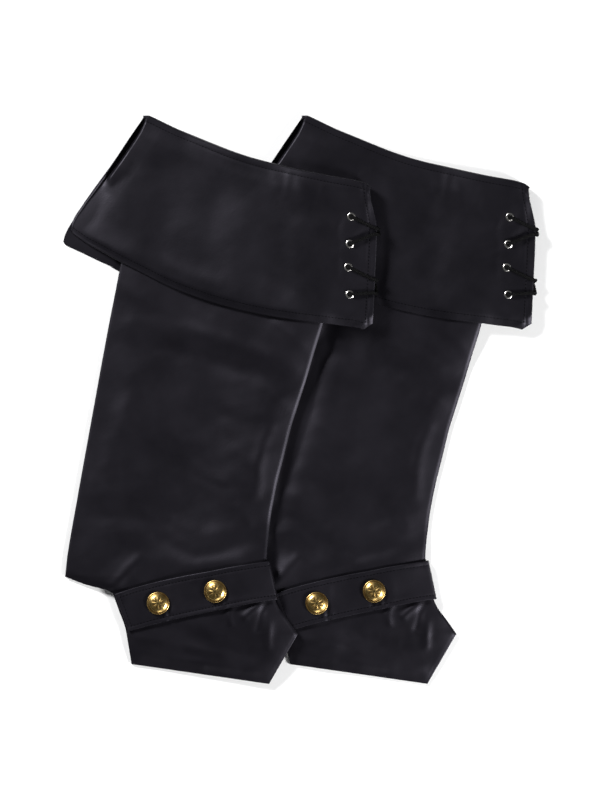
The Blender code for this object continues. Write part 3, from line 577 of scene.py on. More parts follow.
# rows below the fold and above the hem, and the depths of which they are shares
FOLD_ROWS, FOLD_DEPTH = (0, 0.9, 1.8, 2.7, 3.6, 4.5, 5.4, 6.6), 120
HEM_ROWS, HEM_DEPTH = (13.0, 11.2, 9.8, 8.6, 7.5, 6.4, 5.3, 4.2, 3.1, 2.1, 1.3, 0.7, 0.3, 0), 118
CUFF_MIDDLE_ROWS, CUFF_MIDDLE_COLUMNS = 50, 104
BACK_COLUMNS = (
    0, 0.4, 1.0, 1.7, 2.4, 3.1, 3.8, 4.5, 5.2, 5.9, 6.6, 7.3, 8.1, 9.0, 10.1, 11.5, 13.4, 16.2, 20.0,
)
LACED_COLUMNS = (0, 0.4, 0.9, 1.6, 2.4, 3.2, 4.0, 4.8, 5.6, 6.4, 7.2, 8.2, 9.6, 11.6, 14.2, 17.5)
CUFF_HEM = (7.5, 0.62)  # width and drop of the pressed hem
LACED_EDGE_ROLL, CUFF_BACK_ROLL = (0.9, 0.6), (0.8, 0.7)
FOLD_STITCH, LACED_STITCH, HEM_STITCH = 4.6, 6.4, 5.6  # each line's distance from its edge
STITCH_GROOVE = 0.8  # half width of the groove that a line of stitches pulls


def cuff_plan(side):
    """Rows from the fold to the hem, columns from the back seam to the laced edge."""
    left, right, hem = CUFF_EDGES[side]
    left, right = np.array(left), np.array(right)
    fold_rows = np.array(FOLD_ROWS) / FOLD_DEPTH
    hem_rows = np.array(HEM_ROWS) / HEM_DEPTH
    middle_rows = np.linspace(fold_rows[-1], 1 - hem_rows[0], CUFF_MIDDLE_ROWS)[1:-1]
    rows_at = np.concatenate([fold_rows, middle_rows, 1 - hem_rows])
    seam_run = through(left[:, 0], left[:, 1:], rows_at)
    laced_run = through(right[:, 0], right[:, 1:], rows_at)
    rows = []
    for v, a, b in zip(rows_at, seam_run, laced_run):
        f = columns_across(np.linalg.norm(b - a), BACK_COLUMNS, LACED_COLUMNS, CUFF_MIDDLE_COLUMNS)
        row = a + f[:, None] * (b - a)
        row[:, 1] += (1 - v) * through(*TOP_BOW, f) + v * through(*hem, f, HEM_CORNER[side])
        rows.append(row)
    rows = np.array(rows)
    leg_top = np.vstack([left[0, 1:], LEG_PLAN[0], right[0, 1:]])
    fold = np.column_stack([rows[0, :, 0], np.interp(rows[0, :, 0], *leg_top.T)])
    fade = np.clip(1 - rows_at / 0.3, 0, 1)[:, None, None]
    return rows + fade * (fold - rows[0]), rows_at


def cuff_turn(cuff, leg, side):
    """Rows that carry a cuff half over the leg's top edge and down inside it."""
    sign = 1 if side == "outer" else -1
    fold = cuff[0]
    centre = np.interp(fold[:, 0], leg[0][:, 0], leg[0][:, 2]) + WALL / 2
    along = np.gradient(fold[:, :2], axis=0)
    out = np.column_stack([-along[:, 1], along[:, 0]])
    out /= np.linalg.norm(out, axis=1)[:, None]
    first = (fold[:, 2] - centre) * sign
    last = WALL * 1.5 + GAP
    outside, inside = [], []
    for turn in np.linspace(20, 180, 9):
        angle = math.radians(turn)
        reach = first + (last - first) * turn / 180
        for grid, thick in ((outside, 0.0), (inside, WALL)):
            xy = fold[:, :2] + out * (last - thick) * math.sin(angle)
            grid.append(np.column_stack([xy, centre + sign * math.cos(angle) * (reach - thick)]))
    step = leg[FACING_ROW][0, :2] - leg[0][0, :2]
    level = np.interp(fold[:, 0], leg[FACING_ROW][:, 0] - step[0], leg[FACING_ROW][:, 2]) + WALL / 2
    edge = fold[:, :2] + step
    outside.append(np.column_stack([edge, level - sign * last]))
    inside.append(np.column_stack([edge, level - sign * (last - WALL)]))
    return np.array(outside[::-1]), np.array(inside[::-1])


# The cuffs' leather is the legs' leather with a darker base colour: painted shade on the cuffs.
CUFF_LEATHER_PAINTED_SHADE = coated_leather(
    "cuff_leather_painted_shade", dark=(0.0013, 0.0012, 0.0018), light=(0.0022, 0.0020, 0.0029), rough=(0.41, 0.49)
)


def stitch_groove(away, inset, depth):
    """Groove that a line of stitches pulls into the leather, at its distance from an edge."""
    return -depth * np.exp(-(((away - inset) / STITCH_GROOVE) ** 2))


def cuff_relief(plan):
    """Relief of a cuff half's outer face: stitched fold, laced edge, hem and back seam."""
    along, down = running(plan), running_down(plan)
    from_hem, from_lacing = down[-1:] - down, along[:, -1:] - along
    relief = edge_roll(from_hem, *HEM_EDGE_ROLL) + pressed_hem(from_hem, along, 1.3, *CUFF_HEM)
    relief += edge_roll(from_lacing, *LACED_EDGE_ROLL) + stitch_groove(from_lacing, LACED_STITCH, 0.24)
    pull = np.sin(math.tau * down / 11.7) + np.sin(math.tau * down / 7.1 + 2)
    relief += 0.05 * pull * np.exp(-(((from_lacing - 4.0) / 3.0) ** 2))
    relief += edge_roll(along, *CUFF_BACK_ROLL) + fold_heights(plan, LACING_PULLS)
    rim = 0.5 * np.exp(-(((from_hem - 1.0) / 0.7) ** 2)) * np.clip(1 - along / 60, 0, 1)
    return np.maximum(relief + rim + stitch_groove(down, FOLD_STITCH, 0.3), EDGE_WALL - WALL)


def sew_cuff(cover, side, outside, inside, surface):
    """One cuff half as a thin shell with its four eyelet holes."""
    panel = shell(f"{cover}_cuff_{side}_leather", outside, inside, CUFF_LEATHER_PAINTED_SHADE)
    for centre in EYELETS[side]:
        height, normal = seat(surface, on_table(cover, centre), EYELET_SEAT)
        bpy.ops.mesh.primitive_cylinder_add(vertices=28, radius=EYELET_HOLE * MM, depth=8 * MM)
        punch = bpy.context.object
        turn = Vector((0, 0, 1)).rotation_difference(normal).to_matrix().to_4x4()
        spot = (*on_table(cover, centre), height)
        punch.data.transform(Matrix.Translation(Vector(spot) * MM) @ turn)
        hole = panel.modifiers.new("hole", "BOOLEAN")
        hole.solver = "EXACT"
        hole.object = punch
        bpy.context.view_layer.update()
        pierced = panel.evaluated_get(bpy.context.evaluated_depsgraph_get())
        cut = bpy.data.meshes.new_from_object(pierced)
        panel.modifiers.clear()
        panel.data = cut
        bpy.data.objects.remove(punch)
    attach(panel, "root")
    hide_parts(f"{cover}_cuff_{side}")


def lay_cuff_inner(cover, pile):
    """Lower half, held up along its laced edge by the lace that runs under it."""
    plan, _ = cuff_plan("inner")
    zone = on_table(cover, LACE_ZONE)
    ground = Pile(pile.top)
    level = pile.top[pile.cells(zone)].max()
    ground.lay(np.dstack([zone, np.full(zone.shape[:2], level)]), LACE_ROOM_UNDER, n=60)
    placed = on_table(cover, plan)
    under = np.dstack([placed, ground.under(placed)])
    pile.lay(under + (0, 0, WALL))
    return plan, under


def crest_columns():
    """Columns of the crest's table, each with the share of the way down."""
    table = np.array(CREST).T
    return [(table[0], column) for column in table[1:]]


def lay_cuff_outer(cover, pile, inner):
    """Upper half over the leg: up off the lower half by the lacing, crested at its back."""
    plan, rows_at = cuff_plan("outer")
    placed = on_table(cover, plan)
    zone = on_table(cover, LACE_ZONE)
    flat = inner.reshape(-1, 3)
    top = [[flat[np.hypot(*(flat[:, :2] - p).T).argmin(), 2] + WALL for p in row] for row in zone]
    between = Pile(pile.top)
    between.lay(np.dstack([zone, top]), LACE_ROOM_BETWEEN - GAP, n=60)
    low = between.under(placed)
    share, away = rows_at[:, None], running(plan)
    to_lacing = away[:, -1:] - away
    loose = np.clip(np.minimum(away, to_lacing) / CUFF_RISE, 0, 1) * np.clip(share / 0.12, 0, 1)
    quiet = 1 - np.exp(-(((to_lacing - PULLED_FLAT[0]) / PULLED_FLAT[1]) ** 2))
    pressed = (CUFF_PRESSED,) if cover == "right" else ()
    waves = fold_heights(plan, CUFF_FOLDS + pressed)
    waves += slack(plan, CUFF_SLACK_SEED[cover], CUFF_SLACK)
    down = running_down(plan)
    past_hem = down[-1:] - down - HEM_SWELL_PLACE
    swell = HEM_SWELL * np.exp(-((past_hem / np.where(past_hem > 0, *HEM_SWELL_RUN)) ** 2))
    swell = swell * np.clip(away / 20, 0, 1)
    low = low + np.maximum(0, loose + swell + waves * np.clip(loose * 1.6, 0, 1) * quiet)
    seam = np.interp(rows_at, np.linspace(0, 1, len(inner)), inner[:, 0, 2]) + WALL + GAP
    columns = crest_columns()
    groove, run, steep, dome, edge = (np.interp(rows_at, *column)[:, None] for column in columns)
    climb = np.clip((away - groove) / run, 0, 1)
    swell_out = np.clip((away - groove) / DOME_RUN, 0, 1)
    lip = edge * np.clip(1 - away / LIP_RUN, 0, 1)
    bend = 1.1 + 0.9 * np.clip((8 - run) / 5, 0, 1)
    crest = seam[:, None] + lip + steep * (1 - (1 - climb) ** bend)
    crest = crest + dome * (1 - (1 - swell_out) ** 2)
    ease = np.clip((CREST_EASE[1] - away) / (CREST_EASE[1] - CREST_EASE[0]), 0, 1)
    ease = ease * ease * (3 - 2 * ease)
    meet = climb * climb * (3 - 2 * climb)
    beside = crest + meet * (np.maximum(low, ease * crest + (1 - ease) * low) - crest)
    fade = np.clip(share / 0.05, 0, 1)
    under = np.dstack([placed, fade * beside + (1 - fade) * low])
    pile.lay(under + (0, 0, WALL))
    return plan, under


# Straps: a doubled strip of the leather that runs from the foot's rear edge over the instep,
# round the shin seam and back under the foot, topstitched 4 mm in along both edges and
# across its end. The two dome buttons pull small puckers into its lower edge.
STRAP_WALL = 2.0
STRAP_TURN = 0.3  # how far past the leg's edge the inside of its turn is
STRAP_WIDTH = 35.5
STRAP_STITCH = 4.0
# rear edge x, y and front edge x, y
STRAP_STATIONS = (
    (46.9, -7.3, 65.2, -37.8),
    (64.0, 2.0, 82.6, -29.4),
    (80.4, 9.7, 99.0, -22.1),
    (96.5, 16.6, 115.6, -15.0),
    (112.4, 23.0, 132.2, -8.2),
    (128.1, 28.9, 148.3, -1.8),
    (145.0, 35.6, 162.0, 3.8),
    (161.5, 41.4, 176.4, 9.4),
    (176.9, 46.6, 190.1, 13.9),
)
STRAP_PUCKERS = (
    (3.0, 0.35, ((95, 9), (97, -1))),
    (3.5, 0.3, ((114, 18), (124, 23))),
    (1.6, -0.7, ((97.5, -15), (99.8, -21))),
    (1.8, 0.5, ((94, -14), (96.4, -22))),
    (1.8, 0.4, ((101, -12), (103.5, -19))),
    (1.5, -0.6, ((135.5, 1), (138, -4.5))),
    (1.6, 0.45, ((138.6, 2), (140.8, -3.5))),
    (1.5, -0.55, ((146.5, 5), (148.5, 0))),
    (1.6, 0.45, ((143, 4), (145, -2))),
    (4.0, 0.28, ((150, 21), (154, 8))),
)
STRAP_END_ROWS = (0, 0.4, 1.0, 1.9, 2.9, 3.9, 4.9, 6.5)
STRAP_EDGE_COLUMNS = (0, 0.4, 1.0, 1.9, 3.0, 4.0, 5.0, 6.4, 8.2)
STRAP_ROWS, STRAP_MIDDLE_COLUMNS = 96, 13
STRAP_LEATHER = coated_leather(
    "strap_leather", dark=(0.0018, 0.0016, 0.0024), light=(0.0027, 0.0024, 0.0035), rough=(0.42, 0.5),
    crease_depth=0.8
)


def strap_plan():
    """Rows along the strap from its end on the foot, columns from its rear edge to its front."""
    table = np.array(STRAP_STATIONS)
    marks = np.concatenate([[0], np.cumsum(np.linalg.norm(np.diff(table[:, :2], axis=0), axis=1))])
    rest = np.linspace(STRAP_END_ROWS[-1], marks[-1], STRAP_ROWS)[1:]
    at = np.concatenate([STRAP_END_ROWS, rest])
    rear, front = through(marks, table[:, :2], at), through(marks, table[:, 2:], at)
    edge = STRAP_EDGE_COLUMNS
    u = columns_across(STRAP_WIDTH, edge, edge, STRAP_MIDDLE_COLUMNS)
    return rear[:, None] + u[None, :, None] * (front - rear)[:, None]


def strap_relief(plan):
    """Stitch grooves, rolled edges and the puckers beside the buttons."""
    along, down = running(plan), running_down(plan)
    relief = np.zeros(plan.shape[:2])
    for away, run, seed in ((along, down, 4), (along[:, -1:] - along, down, 5), (down, along, 6)):
        relief += edge_roll(away, 0.5, 0.25) + stitch_groove(away, STRAP_STITCH, 0.22)
        pull = np.sin(math.tau * run / 11.3 + seed)
        relief += 0.05 * pull * np.exp(-(((away - 3.0) / 3.0) ** 2))
    return relief + fold_heights(plan, STRAP_PUCKERS)


def sew_strap(cover, low, high):
    """Strap as one closed strip: lower run, turn round the shin seam, upper run."""
    bottom, top = low[-1][:, 2], high[-1][:, 2]
    centre, reach = (bottom + top) / 2, (top - bottom) / 2
    out = low[-1][:, :2] - low[-2][:, :2]
    out /= np.linalg.norm(out, axis=1)[:, None]
    outside, inside = list(low), list(low + (0, 0, STRAP_WALL))
    for turn in np.linspace(15, 165, 11):
        angle = math.radians(turn)
        for grid, thick in ((outside, 0.0), (inside, STRAP_WALL)):
            xy = low[-1][:, :2] + out * math.sin(angle) * (STRAP_TURN + STRAP_WALL - thick)
            grid.append(np.column_stack([xy, centre - math.cos(angle) * (reach - thick)]))
    under = high.copy()
    under[..., 2] = np.minimum(high[..., 2] - 0.4, STRAP_UNDER[cover])
    outside += list(high[::-1])
    inside += list(under[::-1])
    strip = shell(f"{cover}_strap_leather", np.array(outside), np.array(inside), STRAP_LEATHER)
    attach(strip, "root")
    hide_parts(f"{cover}_strap")


STRAP_UNDER = {}  # for each cover, the heights that its strap's upper run lies on


def lay_strap_low(cover, pile):
    """The strap's lower run, flat under the foot."""
    plan = on_table(cover, strap_plan())
    low = np.dstack([plan, pile.under(plan, flat=6)])
    pile.lay(low + (0, 0, STRAP_WALL))
    return low


def lay_strap_high(cover, pile):
    """The strap's upper run, over the instep."""
    plan = strap_plan()
    placed = on_table(cover, plan)
    under = pile.under(placed, flat=4)
    STRAP_UNDER[cover] = under
    high = np.dstack([placed, under + STRAP_WALL + strap_relief(plan)])
    pile.lay(high)
    return high


# Buttons: stamped brass domes 20.6 mm across with a rolled rim, antiqued dark in the relief
# and worn bright on top. The face carries a plain rayed rosette in very low relief.
BUTTONS = {"heel": (86.7, -8.2), "instep": (135.5, 11.6)}
BUTTON_RADIUS = 10.3
BUTTON_PROFILE = (
    (0.0, 4.9), (0.5, 4.9), (1.0, 4.88), (1.7, 4.84), (2.4, 4.78), (3.2, 4.68), (4.0, 4.53),
    (4.8, 4.34), (5.6, 4.1), (6.3, 3.84), (6.9, 3.56), (7.4, 3.28), (7.9, 2.95), (8.3, 2.66),
    (8.6, 2.46), (8.85, 2.36), (9.1, 2.36), (9.4, 2.42), (9.7, 2.38), (9.95, 2.22), (10.15, 1.95),
    (10.28, 1.6), (10.3, 1.2), (10.2, 0.8), (9.8, 0.45), (9.0, 0.2), (8.0, 0.1), (0.0, 0.1),
)
BUTTON_LIFT = 0.35  # height of the button's foot over the strap's mean face under it


def turned(name, profile, segments, finish, relief=None):
    """Turned body from radius and height, closed at its axis or as a ring."""
    made = bmesh.new()
    rings = []
    for radius, height in profile:
        if radius == 0:
            rings.append([made.verts.new((0, 0, height * MM))] * segments)
            continue
        ring = []
        for k in range(segments):
            angle = math.tau * k / segments
            x, y = radius * MM * math.cos(angle), radius * MM * math.sin(angle)
            z = height + (relief(radius, angle) if relief else 0)
            ring.append(made.verts.new((x, y, z * MM)))
        rings.append(ring)
    pairs = list(zip(rings, rings[1:]))
    if profile[0][0] > 0:
        pairs.append((rings[-1], rings[0]))
    for low, high in pairs:
        for k in range(segments):
            m = (k + 1) % segments
            corners = dict.fromkeys((low[k], low[m], high[m], high[k]))
            made.faces.new(list(corners))
    bmesh.ops.recalc_face_normals(made, faces=made.faces)
    if made.calc_volume(signed=True) < 0:
        bmesh.ops.reverse_faces(made, faces=made.faces)
    mesh = bpy.data.meshes.new(name)
    made.to_mesh(mesh)
    made.free()
    mesh.shade_smooth()
    mesh.materials.append(finish)
    piece = bpy.data.objects.new(name, mesh)
    bpy.context.collection.objects.link(piece)
    return piece


def seat(surface, centre, radius):
    """Plane through a surface round a point: its height there and its normal."""
    points = surface.reshape(-1, 3)
    near = points[np.hypot(points[:, 0] - centre[0], points[:, 1] - centre[1]) < radius]
    flat = near[:, :2] - centre
    sides = np.column_stack([flat, np.ones(len(near))])
    a, b, c = np.linalg.lstsq(sides, near[:, 2], rcond=None)[0]
    return c, Vector((-a, -b, 1)).normalized()


def stand(piece, centre, height, normal):
    """Move a turned piece to its seat, in its mesh."""
    turn = Vector((0, 0, 1)).rotation_difference(normal).to_matrix().to_4x4()
    piece.data.transform(Matrix.Translation(Vector((centre[0], centre[1], height)) * MM) @ turn)


def antique_brass():
    """Yellow brass, dark in its hollows and clouded with brown, bright where it is rubbed."""
    made = bpy.data.materials.new("antique_brass")
    made.use_nodes = True
    nodes, links = made.node_tree.nodes, made.node_tree.links
    shader = nodes["Principled BSDF"]
    shader.inputs["Metallic"].default_value = 1.0
    place = nodes.new("ShaderNodeTexCoord")
    clouds = nodes.new("ShaderNodeTexNoise")
    clouds.inputs["Scale"].default_value = 190.0
    clouds.inputs["Detail"].default_value = 5.0
    clouds.inputs["Distortion"].default_value = 1.2
    worn = nodes.new("ShaderNodeAttribute")
    worn.attribute_name = "hollow"
    blend = nodes.new("ShaderNodeMath")
    blend.operation = "MULTIPLY_ADD"
    blend.inputs[1].default_value = 0.75
    blend.use_clamp = True
    tone = nodes.new("ShaderNodeValToRGB")
    tone.color_ramp.elements[0].position = 0.34
    tone.color_ramp.elements[0].color = (0.56, 0.39, 0.14, 1)
    tone.color_ramp.elements[1].position = 0.8
    tone.color_ramp.elements[1].color = (0.03, 0.015, 0.005, 1)
    middle = tone.color_ramp.elements.new(0.5)
    middle.color = (0.27, 0.16, 0.05, 1)
    gloss = nodes.new("ShaderNodeMapRange")
    gloss.inputs["To Min"].default_value = 0.2
    gloss.inputs["To Max"].default_value = 0.5
    relief = nodes.new("ShaderNodeBump")
    relief.inputs["Strength"].default_value = 0.35
    relief.inputs["Distance"].default_value = 0.0002
    links.new(place.outputs["Object"], clouds.inputs["Vector"])
    links.new(clouds.outputs["Fac"], blend.inputs[0])
    links.new(worn.outputs["Fac"], blend.inputs[2])
    links.new(blend.outputs[0], tone.inputs["Fac"])
    links.new(blend.outputs[0], gloss.inputs["Value"])
    links.new(tone.outputs["Color"], shader.inputs["Base Color"])
    links.new(gloss.outputs["Result"], shader.inputs["Roughness"])
    links.new(clouds.outputs["Fac"], relief.inputs["Height"])
    links.new(relief.outputs["Normal"], shader.inputs["Normal"])
    return made


BRASS = antique_brass()


def rosette(radius, angle):
    """Low relief of eight rays inside a raised ring."""
    rays = 0.16 * math.cos(8 * angle) * math.exp(-(((radius - 3.6) / 1.7) ** 2))
    ring = 0.16 * math.exp(-(((radius - 6.6) / 0.45) ** 2))
    boss = 0.22 * math.exp(-((radius / 1.1) ** 2))
    return rays + ring + boss


def set_button(cover, spot, strap_top):
    """One dome button on the strap, shaded by its hollows."""
    button = turned(f"{cover}_button_{spot}_dome", BUTTON_PROFILE, 72, BRASS, rosette)
    hollow = button.data.attributes.new("hollow", "FLOAT", "POINT")
    for i, v in enumerate(button.data.vertices):
        radius = math.hypot(v.co.x, v.co.y) / MM
        angle = math.atan2(v.co.y, v.co.x)
        shade = 0.3 * math.exp(-(((radius - 8.9) / 0.6) ** 2)) - 1.3 * rosette(radius, angle)
        hollow.data[i].value = shade
    centre = on_table(cover, BUTTONS[spot])
    height, normal = seat(strap_top, centre, BUTTON_RADIUS - 1)
    stand(button, centre, height + BUTTON_LIFT, normal)
    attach(button, "root")
    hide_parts(f"{cover}_button_{spot}")


# Eyelets: plated steel rings, 7.7 mm outside, set through each cuff half. The flange is on the
# outer face, the barrel goes through the leather and its end is clinched on the inner face.
EYELETS = {
    "outer": ((195.4, 364.1), (198.6, 339.8), (200.9, 319.0), (206.6, 295.2)),
    "inner": ((195.4, 364.1), (195.4, 339.8), (197.7, 319.0), (206.6, 295.2)),
}
EYELET_HOLE = 2.85
EYELET_SEAT = 4.4  # radius of the leather that an eyelet is seated on
EYELET_PROFILE = (
    (2.0, 1.1), (2.06, 1.28), (2.24, 1.44), (2.5, 1.52), (2.85, 1.5), (3.2, 1.4), (3.52, 1.24),
    (3.76, 1.04), (3.85, 0.88), (3.75, 0.8), (2.7, 0.8), (2.5, 0.6), (2.5, -0.7), (2.7, -0.95),
    (3.2, -1.0), (3.3, -1.15), (3.15, -1.32), (2.6, -1.42), (2.2, -1.38), (2.0, -1.2),
)


def plated_steel():
    """Bright plating, faintly brushed and dulled by handling."""
    made = bpy.data.materials.new("plated_steel")
    made.use_nodes = True
    nodes, links = made.node_tree.nodes, made.node_tree.links
    shader = nodes["Principled BSDF"]
    shader.inputs["Metallic"].default_value = 1.0
    place = nodes.new("ShaderNodeTexCoord")
    clouds = nodes.new("ShaderNodeTexNoise")
    clouds.inputs["Scale"].default_value = 420.0
    clouds.inputs["Detail"].default_value = 4.0
    tone = nodes.new("ShaderNodeValToRGB")
    tone.color_ramp.elements[0].position = 0.35
    tone.color_ramp.elements[0].color = (0.46, 0.44, 0.42, 1)
    tone.color_ramp.elements[1].position = 0.6
    tone.color_ramp.elements[1].color = (0.82, 0.8, 0.77, 1)
    gloss = nodes.new("ShaderNodeMapRange")
    gloss.inputs["To Min"].default_value = 0.34
    gloss.inputs["To Max"].default_value = 0.18
    links.new(place.outputs["Object"], clouds.inputs["Vector"])
    links.new(clouds.outputs["Fac"], tone.inputs["Fac"])
    links.new(clouds.outputs["Fac"], gloss.inputs["Value"])
    links.new(tone.outputs["Color"], shader.inputs["Base Color"])
    links.new(gloss.outputs["Result"], shader.inputs["Roughness"])
    return made


STEEL = plated_steel()


def set_eyelets(cover, side, surface):
    """Four eyelets through one cuff half, flanges on its outer face."""
    for number, spot in enumerate(EYELETS[side], 1):
        name = f"{cover}_eyelet_{side}_{number}"
        ring = turned(name + "_ring", EYELET_PROFILE, 36, STEEL)
        centre = on_table(cover, spot)
        height, normal = seat(surface, centre, EYELET_SEAT)
        stand(ring, centre, height - WALL / 2, normal if side == "outer" else -normal)
        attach(ring, "root")
        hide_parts(name)


# Laces: one endless round cord to each cover, braided black cotton 3.1 mm thick. It goes out of
# an outer eyelet, round the laced edge into the inner half's eyelet and up between the halves
# to the next, so two cords cross at the edge beside each pair.
LACE_RADIUS = 1.55
LACE_SIDES = 14
BRAID_REPEATS, BRAID_LENGTH = 8, 1.15  # strands round the cord, length of one along it
# y and x of the cuff's laced edge, from the hem up
LACED_EDGE = (
    (273.4, 231.9), (301.5, 228.1), (320.0, 225.7), (342.0, 222.7), (360.0, 219.6), (391.8, 207.7),
)
LACED_STRIP = 34  # columns of a cuff half that hold its eyelets and laced edge


def lace_path(cover, outer, inner):
    """The lace's run; outer and inner are the top surfaces of the cuff's halves."""
    edge_y, edge_x = zip(*LACED_EDGE)
    tops = [grid[:, -LACED_STRIP:].reshape(-1, 3) for grid in (outer, inner)]

    def spot(x, y, level, height):
        at = on_table(cover, (x, y))
        top, low = (g[np.hypot(g[:, 0] - at[0], g[:, 1] - at[1]).argmin(), 2] for g in tops)
        base = (low - WALL, (top - WALL + low) / 2, top)[level + 1]
        return (*at, base + height)

    def lie(eye, y, level, inset):
        sign = 1 if level > 0 else -1
        end = np.array((np.interp(y, edge_y, edge_x) - inset - 2.2, y))
        eye = np.array(eye)
        way = (end - eye) / np.linalg.norm(end - eye)
        run = [eye + 0.2 * way, eye + 1.3 * way, eye + 5.6 * way, eye + 8.2 * way, end]
        rise = (1.9, 2.5, 2.5, 1.8, 1.75)
        return [spot(eye[0], eye[1], level, sign * 0.2)] + [
            spot(p[0], p[1], level, sign * h) for p, h in zip(run, rise)]

    def turn(y_top, y_low, near):
        x_top, x_low = (np.interp(y, edge_y, edge_x) for y in (y_top, y_low))
        crossing = y_top + (y_low - y_top) * (0.3 if near else 0.1)
        run = [(1, 0.7, y_top, 1.65), (1, 1.8, y_top, 0.4), (1, 1.9, y_top, -2.4)]
        if near:
            run += [(0, -1.3, crossing, -0.25), (-1, -2.0, y_low + 1.0, 1.5)]
            run += [(-1, -2.1, y_low, -0.1), (-1, -3.2, y_low, -1.75)]
        else:
            run += [(0, 2.0, crossing, -0.25), (-1, 1.6, (y_top + y_low) / 2, 1.5)]
            run += [(-1, 0.4, y_low - 1.0, -0.4), (-1, -1.6, y_low, -1.75)]
        stops = []
        for level, out, y, height in run:
            x = x_top if level > -1 else x_low
            stops.append(spot(x + out, y, level, height))
        return stops

    def inside(start, end):
        start, end = np.array(start), np.array(end)
        way = (end - start) / np.linalg.norm(end - start)
        stops = [start + d * way for d in (0.5, 1.8, 6.0)] + [end - d * way for d in (6.0, 1.8, 0.5)]
        return [spot(p[0], p[1], 0, 0.0) for p in stops]

    f, b = EYELETS["outer"], EYELETS["inner"]

    def half_loop(upper, lower, y_top, y_low, near):
        over, under = lie(f[upper], y_top, 1, 0), lie(b[lower], y_low, -1, 4.0)
        return over + turn(y_top, y_low, near) + under[::-1]

    path = half_loop(0, 1, 357.5, 349.5, True) + inside(b[1], b[2])
    path += half_loop(3, 2, 300.3, 309.5, False)[::-1] + [spot(*f[3], 0, 0)]
    path += half_loop(2, 3, 312.3, 300.5, True)[::-1] + inside(f[2], f[1])
    path += half_loop(1, 0, 352.6, 359.5, False) + [spot(*f[0], 0, 0)]
    return path


def braided_cord():
    """Black braid: two crossing sets of strands wound round the cord, painted darker in the gaps between
    the strands as shade.
    """
    made = bpy.data.materials.new("braided_cord")
    made.use_nodes = True
    nodes, links = made.node_tree.nodes, made.node_tree.links
    shader = nodes["Principled BSDF"]
    shader.inputs["Specular IOR Level"].default_value = 0.08
    where = nodes.new("ShaderNodeUVMap")
    where.uv_map = "around_along"
    strands = []
    for lean in (45, -45):
        turn = nodes.new("ShaderNodeMapping")
        turn.inputs["Rotation"].default_value = (0, 0, math.radians(lean))
        wave = nodes.new("ShaderNodeTexWave")
        wave.wave_profile = "SIN"
        wave.inputs["Scale"].default_value = 1.6
        links.new(where.outputs["UV"], turn.inputs["Vector"])
        links.new(turn.outputs["Vector"], wave.inputs["Vector"])
        strands.append(wave)
    over = nodes.new("ShaderNodeMath")
    over.operation = "MAXIMUM"
    links.new(strands[0].outputs["Fac"], over.inputs[0])
    links.new(strands[1].outputs["Fac"], over.inputs[1])
    # The strands' tops are lighter and the gaps between them darker, by the same value that raises the
    # strands in the bump: painted shade in the braid's grooves.
    tone = nodes.new("ShaderNodeValToRGB")
    tone.color_ramp.elements[0].position = 0.45
    tone.color_ramp.elements[0].color = (0.0004, 0.0004, 0.0005, 1)
    tone.color_ramp.elements[1].color = (0.0022, 0.0021, 0.0025, 1)
    rough = nodes.new("ShaderNodeMapRange")
    rough.inputs["To Min"].default_value = 0.85
    rough.inputs["To Max"].default_value = 0.6
    relief = nodes.new("ShaderNodeBump")
    relief.inputs["Strength"].default_value = 0.6
    relief.inputs["Distance"].default_value = 0.0003
    links.new(over.outputs[0], tone.inputs["Fac"])
    links.new(over.outputs[0], rough.inputs["Value"])
    links.new(tone.outputs["Color"], shader.inputs["Base Color"])
    links.new(rough.outputs["Result"], shader.inputs["Roughness"])
    links.new(over.outputs[0], relief.inputs["Height"])
    links.new(relief.outputs["Normal"], shader.inputs["Normal"])
    return made


BRAID = braided_cord()


def thread_lace(cover, outer, inner):
    """Sweep the cord along its closed run, with the braid's own map round and along it."""
    path = [Vector(p) for p in lace_path(cover, outer, inner)]
    for _ in range(3):
        pairs = zip(path, path[1:] + path[:1])
        path = [q for a, b in pairs for q in (a.lerp(b, 0.25), a.lerp(b, 0.75))]
    count, sides = len(path), LACE_SIDES
    ways = [(path[(i + 1) % count] - path[i - 1]).normalized() for i in range(count)]
    side = ways[0].orthogonal().normalized()
    frames = []
    for i, way in enumerate(ways):
        if i:
            side = ways[i - 1].rotation_difference(way) @ side
        side = (side - side.dot(way) * way).normalized()
        frames.append(side.copy())
    back = ways[-1].rotation_difference(ways[0]) @ frames[-1]
    twist = math.atan2(back.cross(frames[0]).dot(ways[0]), back.dot(frames[0]))
    made = bmesh.new()
    around = made.loops.layers.uv.new("around_along")
    rings, run = [], [0.0]
    for i in range(count):
        first = Matrix.Rotation(twist * i / count, 3, ways[i]) @ frames[i]
        second = ways[i].cross(first)
        ring = []
        for k in range(sides):
            angle = math.tau * k / sides
            offset = LACE_RADIUS * (math.cos(angle) * first + math.sin(angle) * second)
            ring.append(made.verts.new((path[i] + offset) * MM))
        rings.append(ring)
        run.append(run[-1] + (path[(i + 1) % count] - path[i]).length)
    for i in range(count):
        here, there = rings[i], rings[(i + 1) % count]
        for k in range(sides):
            m = (k + 1) % sides
            face = made.faces.new((here[k], here[m], there[m], there[k]))
            corners = ((k, i), (k + 1, i), (k + 1, i + 1), (k, i + 1))
            for loop, (a, d) in zip(face.loops, corners):
                loop[around].uv = (a / sides * BRAID_REPEATS, run[d] / BRAID_LENGTH)
    bmesh.ops.recalc_face_normals(made, faces=made.faces)
    mesh = bpy.data.meshes.new(f"{cover}_lace_cord")
    made.to_mesh(mesh)
    made.free()
    mesh.shade_smooth()
    mesh.materials.append(BRAID)
    lace = bpy.data.objects.new(f"{cover}_lace_cord", mesh)
    bpy.context.collection.objects.link(lace)
    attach(lace, "root")
    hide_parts(f"{cover}_lace")


